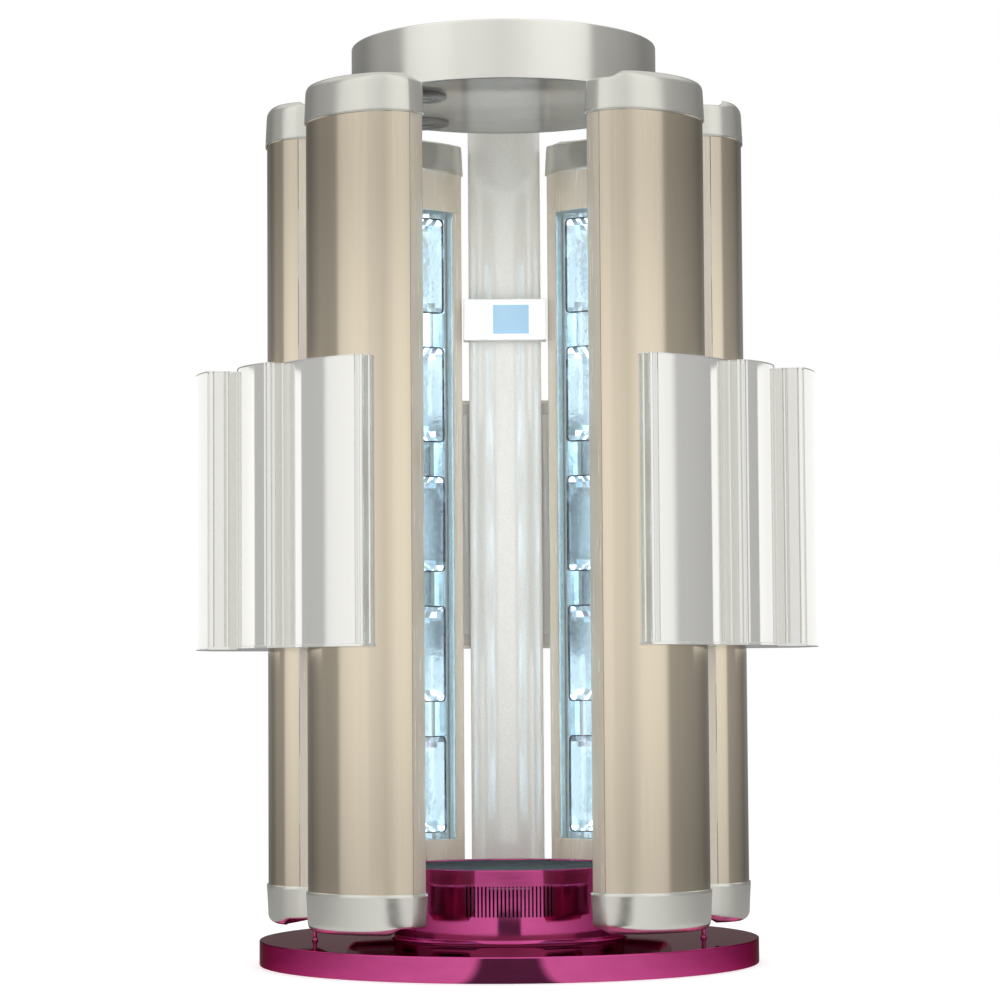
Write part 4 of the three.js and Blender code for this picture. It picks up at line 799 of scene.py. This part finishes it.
panel = dict(half=115.6, front=461.3, low=1675.0, high=1790.0, corner=6.0, edge=5.0)
hollow = arc(0, mast["front"] + bowSize, bowSize + 0.4, -np.pi / 2 + spread * 0.99, -np.pi / 2 - spread * 0.99, 25)
frontSide = softRing([(-panel["half"], hollow[-1, 1]), (-panel["half"], panel["front"]), (panel["half"], panel["front"]), (panel["half"], hollow[0, 1])],
                     [0.5, panel["corner"], panel["corner"], 0.5], 6)
frontSide = frontSide[7:-7]
panelOutline = np.concatenate([[[-panel["half"], hollow[-1, 1]]], frontSide, [[panel["half"], hollow[0, 1]]], hollow])
putPiece("panel_body", [raised(panelOutline, panel["low"], panel["high"], 4.0, 4)], panelWhite, "stand", ["control_panel"])
screen = dict(left=-33.0, right=67.0, low=1692.0, high=1773.0, front=460.9, back=464.6)
outlineOf = softRing(box(screen["left"], screen["right"], screen["low"], screen["high"]), 3)
putPiece("screen", [raised(outlineOf, screen["front"], screen["back"], 0.5, axes=(0, 2, 1))], displayBlue, "stand", ["display"])
frameRing = np.stack([insetRing(outlineOf, a) for a in (0.2, 0.2, -2.2, -2.2)])
frameRing = np.stack([frameRing[..., 0], np.array([461.5, 460.8, 460.8, 461.5])[:, None] + 0 * frameRing[..., 0], frameRing[..., 1]], -1)
putPiece("screen_frame", [gridShell(frameRing, wrapRows=True)], panelWhite, "stand")

canopy = dict(radius=401.0, low=2242.0, high=2392.0, wall=4.0, edge=4.0)
canopyProfile = softRing([(20, canopy["high"]), (canopy["radius"], canopy["high"]), (canopy["radius"], canopy["low"]),
                          (canopy["radius"] - canopy["wall"], canopy["low"]), (canopy["radius"] - canopy["wall"], canopy["high"] - canopy["wall"]),
                          (20, canopy["high"] - canopy["wall"])], [0.2, canopy["edge"], 1.5, 1.2, 2, 0.2], 5)[6:-6]
canopyProfile = np.concatenate([[[20, canopy["high"]]], canopyProfile, [[20, canopy["high"] - canopy["wall"]]]])
putPiece("canopy_band", [turned(canopyProfile, 192, closed=False)], canopySatin, "stand", ["canopy_drum"])
soffitTrim = softRing([(390, 2240.6), (397, 2240.6), (397, 2245), (390, 2242.2)], [1, 1, 0.5, 0.3], 3)
putPiece("soffit_trim", [turned(soffitTrim, 192)], soffitGrey, "stand")

# nozzle: flange with rings, and a round face with a slot pressed into it. The slot's wall is a smooth step of the
# distance to a short line.
nozzle = dict(flange=74.0, neck=58.0, low=2229.7, seat=2241.7, neckTop=2254.7, slotHalf=29.0, slotRadius=6.0, slotDepth=8.0)
for name, x, y in (("front_nozzle", -222.0, -168.0), ("rear_nozzle", -222.0, 212.0)):
    n = nozzle
    ring = np.array([[42, 2], [44, 4], [47, 4], [49, 1.4], [53, 0.6], [55, 2.6], [58, 2.6], [60, 0.6], [64, 0.0], [68, 0.3], [72, 2.0],
                     [73.6, 4.5], [74, 7.5]])
    radius = np.concatenate([np.linspace(1, 42, 42), ring[1:, 0], [n["flange"] - 0.5, n["neck"], n["neck"]]])
    height = np.concatenate([np.full(42, n["low"] + 2), n["low"] + ring[1:, 1], [n["seat"], n["seat"], n["neckTop"]]])
    t = np.linspace(0, 2 * np.pi, 128, endpoint=False)
    px, py = radius[:, None] * np.cos(t), radius[:, None] * np.sin(t)
    away = np.hypot(np.maximum(np.abs(px) - n["slotHalf"], 0), py) - n["slotRadius"]
    pz = height[:, None] + n["slotDepth"] * (1 - smooth((away + 0.8) / 1.6))
    putPiece(name + "_disc", [gridShell(np.stack([x + px, y + py, pz], -1))], nozzleGrey, name, [name])
print("booth: mast, panel and canopy")

# nodes that keep their own shape
for name, finish in (("canopy_soffit", soffitGrey), ("blower_motor", darkCoat), ("blower_wheel", turnedSteel)):
    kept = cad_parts[name].data
    kept.materials.clear()
    kept.materials.append(finish)

# floor, studio light and camera

# panorama: angle from straight ahead (to the right positive) and level; fade: sine of the height and share
studio = dict(floorRadius=3.2, diffuse=0.55, shine=1.62,
              panorama=[(-180, 0.24), (-160, 0.17), (-130, 0.14), (-108, 0.26), (-98, 0.26), (-83, 0.28), (-78, 0.60), (-70, 0.65),
                        (-58, 0.70), (-44, 0.69), (-36, 0.62), (-20, 0.60), (0, 0.55), (16, 0.63), (26, 0.70), (46, 0.72),
                        (60, 0.69), (66, 0.64), (71, 0.30), (92, 0.26), (112, 0.21), (130, 0.14), (160, 0.17), (180, 0.24)],
              fade=[(-0.25, 0.55), (-0.057, 0.62), (-0.032, 0.80), (0.002, 0.97), (0.115, 1.0), (0.140, 0.84), (0.165, 0.60), (0.18, 0.62),
                    (0.2, 0.9), (0.25, 0.98)],
              floorBands=[(0, 0.12), (9, 0.12), (12, 0.95), (40, 0.85), (60, 0.65), (90, 0.40), (180, 0.30)])
floorRings = np.array([[0.4, 0], [1.2, 0], [2.2, 0], [studio["floorRadius"], 0]]) * 1000
points, parts = turned(floorRings, 96, closed=False)
floorMesh = bpy.data.meshes.new("floor")
floorMesh.from_pydata(points * mm - [0, 0, 0.0008], [], [f for p in parts[:2] for f in (p.tolist() if p.ndim == 2 else [p.tolist()])])
floor = bpy.data.objects.new("floor", floorMesh)
bpy.context.scene.collection.objects.link(floor)
pale = newFinish("paleFloor", baseColor=(0.86, 0.86, 0.86, 1), roughness=0.8)
pale.node_tree.nodes["Principled BSDF"].inputs["Specular IOR Level"].default_value = 0.1
rays = node(pale, "ShaderNodeLightPath")
seen = node(pale, "ShaderNodeMath")
seen.operation = "ADD"
seenAll = node(pale, "ShaderNodeMath")
seenAll.operation = "ADD"
white = node(pale, "ShaderNodeEmission")
link(pale, rays.outputs["Is Camera Ray"], seen.inputs[0])
link(pale, rays.outputs["Is Glossy Ray"], seen.inputs[1])
link(pale, seen.outputs[0], seenAll.inputs[0])
link(pale, rays.outputs["Is Transmission Ray"], seenAll.inputs[1])
scaled = node(pale, "ShaderNodeMath")
scaled.operation, scaled.inputs[1].default_value = "MULTIPLY", 0.42
link(pale, seenAll.outputs[0], scaled.inputs[0])
link(pale, scaled.outputs[0], white.inputs["Strength"])
# what polished metal sees of the floor: bands by the angle from straight ahead, the dark one only near the base
spotOf, parts3 = node(pale, "ShaderNodeTexCoord"), node(pale, "ShaderNodeSeparateXYZ")
link(pale, spotOf.outputs["Object"], parts3.inputs[0])
sideOf, aheadOf, angleOf, farOf, beyond, shareOfTurn = (node(pale, "ShaderNodeMath") for _ in range(6))
for step, kind in zip((sideOf, aheadOf, angleOf, farOf, shareOfTurn), ("ABSOLUTE", "MULTIPLY", "ARCTAN2", "GREATER_THAN", "MULTIPLY_ADD")):
    step.operation = kind
aheadOf.inputs[1].default_value, farOf.inputs[1].default_value, shareOfTurn.inputs[1].default_value = -1, 2.6, 1 / math.pi
beyond.operation, beyond.inputs[1].default_value = "MULTIPLY", 0.1
away = node(pale, "ShaderNodeVectorMath")
away.operation = "LENGTH"
link(pale, spotOf.outputs["Object"], away.inputs[0])
link(pale, away.outputs["Value"], farOf.inputs[0])
link(pale, farOf.outputs[0], beyond.inputs[0])
link(pale, parts3.outputs["X"], sideOf.inputs[0])
link(pale, parts3.outputs["Y"], aheadOf.inputs[0])
link(pale, sideOf.outputs[0], angleOf.inputs[0])
link(pale, aheadOf.outputs[0], angleOf.inputs[1])
link(pale, angleOf.outputs[0], shareOfTurn.inputs[0])
link(pale, beyond.outputs[0], shareOfTurn.inputs[2])
floorRamp = node(pale, "ShaderNodeValToRGB")
floorMarks = floorRamp.color_ramp.elements
while len(floorMarks) < len(studio["floorBands"]):
    floorMarks.new(0.5)
for mark, (angle, level) in zip(floorMarks, studio["floorBands"]):
    mark.position, mark.color = angle / 180, (level, level, level, 1)
link(pale, shareOfTurn.outputs[0], floorRamp.inputs["Fac"])
mirrored, chosen = node(pale, "ShaderNodeEmission"), node(pale, "ShaderNodeMixShader")
link(pale, floorRamp.outputs["Color"], mirrored.inputs["Color"])
both = node(pale, "ShaderNodeAddShader")
link(pale, shaderOf(pale).outputs[0], both.inputs[0])
link(pale, white.outputs[0], both.inputs[1])
link(pale, rays.outputs["Is Glossy Ray"], chosen.inputs[0])
link(pale, both.outputs[0], chosen.inputs[1])
link(pale, mirrored.outputs[0], chosen.inputs[2])
link(pale, chosen.outputs[0], pale.node_tree.nodes["Material Output"].inputs["Surface"])
floorMesh.materials.append(pale)

# world: white to the camera and through glass, upright bands of light and shade to polished metal
world = bpy.data.worlds.new("studio")
bpy.context.scene.world = world
world.use_nodes = True
tree = world.node_tree
tree.nodes.clear()


def worldNode(kind, operation=None):
    made = tree.nodes.new(kind)
    if operation:
        made.operation = operation
    return made


coords, split = worldNode("ShaderNodeTexCoord"), worldNode("ShaderNodeSeparateXYZ")
tree.links.new(coords.outputs["Generated"], split.inputs[0])
forwards, turnOf, shareOf, heightOf = (worldNode("ShaderNodeMath", op) for op in ("MULTIPLY", "ARCTAN2", "MULTIPLY_ADD", "MULTIPLY_ADD"))
forwards.inputs[1].default_value = -1
shareOf.inputs[1].default_value, shareOf.inputs[2].default_value = 0.5 / math.pi, 0.5
heightOf.inputs[1].default_value, heightOf.inputs[2].default_value = 2, 0.5
tree.links.new(split.outputs["Y"], forwards.inputs[0])
tree.links.new(split.outputs["X"], turnOf.inputs[0])
tree.links.new(forwards.outputs[0], turnOf.inputs[1])
tree.links.new(turnOf.outputs[0], shareOf.inputs[0])
tree.links.new(split.outputs["Z"], heightOf.inputs[0])


def worldRamp(source, stops):
    ramp = worldNode("ShaderNodeValToRGB")
    marks = ramp.color_ramp.elements
    while len(marks) < len(stops):
        marks.new(0.5)
    for mark, (position, level) in zip(marks, stops):
        mark.position, mark.color = position, (level, level, level, 1)
    tree.links.new(source.outputs[0], ramp.inputs["Fac"])
    return ramp.outputs["Color"]


bands = worldRamp(shareOf, [(angle / 360 + 0.5, level) for angle, level in studio["panorama"]])
fading = worldRamp(heightOf, [(2 * height + 0.5, share) for height, share in studio["fade"]])
level = worldNode("ShaderNodeMath", "MULTIPLY")
tree.links.new(bands, level.inputs[0])
tree.links.new(fading, level.inputs[1])
# white overhead
highLight = worldNode("ShaderNodeMapRange")
for key, value in (("From Min", 0.3), ("From Max", 0.7), ("To Min", 0.0), ("To Max", 0.52)):
    highLight.inputs[key].default_value = value
tree.links.new(split.outputs["Z"], highLight.inputs["Value"])
shining = worldNode("ShaderNodeMath", "MAXIMUM")
tree.links.new(level.outputs[0], shining.inputs[0])
tree.links.new(highLight.outputs["Result"], shining.inputs[1])
room, shine, plainWhite = worldNode("ShaderNodeBackground"), worldNode("ShaderNodeBackground"), worldNode("ShaderNodeBackground")
room.inputs["Color"].default_value = (1, 1, 1, 1)
room.inputs["Strength"].default_value = studio["diffuse"]
plainWhite.inputs["Color"].default_value = (1, 1, 1, 1)
tree.links.new(shining.outputs[0], shine.inputs["Color"])
shine.inputs["Strength"].default_value = studio["shine"]
paths = worldNode("ShaderNodeLightPath")
clear = worldNode("ShaderNodeMath", "ADD")
tree.links.new(paths.outputs["Is Camera Ray"], clear.inputs[0])
tree.links.new(paths.outputs["Is Transmission Ray"], clear.inputs[1])
glossy, whole = worldNode("ShaderNodeMixShader"), worldNode("ShaderNodeMixShader")
tree.links.new(paths.outputs["Is Glossy Ray"], glossy.inputs[0])
tree.links.new(room.outputs[0], glossy.inputs[1])
tree.links.new(shine.outputs[0], glossy.inputs[2])
tree.links.new(clear.outputs[0], whole.inputs[0])
tree.links.new(glossy.outputs[0], whole.inputs[1])
tree.links.new(plainWhite.outputs[0], whole.inputs[2])
out = worldNode("ShaderNodeOutputWorld")
tree.links.new(whole.outputs[0], out.inputs["Surface"])

# name, place, aimed at, width, height, power; the two strips also show in polished metal
lamps = [("leftStrip", (-1.55, 0.75, 1.25), (-0.6, -0.1, 1.25), 1.7, 0.84, 3.7), ("rightStrip", (1.55, 0.75, 1.25), (0.6, -0.1, 1.25), 1.7, 0.84, 3.7),
         ("keyLamp", (-3.2, -5.2, 4.6), (0, 0, 1.2), 3.0, 3.0, 70), ("fillLamp", (4.2, -4.4, 3.4), (0, 0, 1.2), 3.0, 3.0, 45),
         ("backLamp", (0.5, 5.0, 4.8), (0, 0, 1.2), 3.5, 3.5, 60), ("leftLamp", (-4.0, -0.6, 1.3), (0, 0, 1.2), 2.0, 2.0, 45),
         ("rightLamp", (4.0, -0.6, 1.3), (0, 0, 1.2), 2.0, 2.0, 45), ("boothLamp", (0, -0.25, 1.2), (0, 1, 1.2), 0.4, 1.9, 9)]
for name, spot, aim, width, height, power in lamps:
    lampData = bpy.data.lights.new(name, "AREA")
    lampData.shape, lampData.size, lampData.size_y, lampData.energy = "RECTANGLE", width, height, power
    lamp = bpy.data.objects.new(name, lampData)
    bpy.context.scene.collection.objects.link(lamp)
    lamp.location = spot
    toward = np.array(aim) - np.array(spot)
    lamp.rotation_euler = (math.atan2(math.hypot(toward[0], toward[1]), -toward[2]), 0, math.atan2(toward[1], toward[0]) - math.pi / 2)
    lamp.visible_glossy = "Strip" in name
    lamp.visible_camera = False

cameraData = bpy.data.cameras.new("camera")
cameraData.lens, cameraData.sensor_width = 115.1, 36
camera = bpy.data.objects.new("camera", cameraData)
bpy.context.scene.collection.objects.link(camera)
camera.location = (-0.0200, -8.363, 0.685)
camera.rotation_euler = (math.pi / 2 + 0.0617, 0.0065, 0)
bpy.context.scene.camera = camera
bpy.context.scene.view_settings.view_transform = "Standard"
print("booth: stage set")
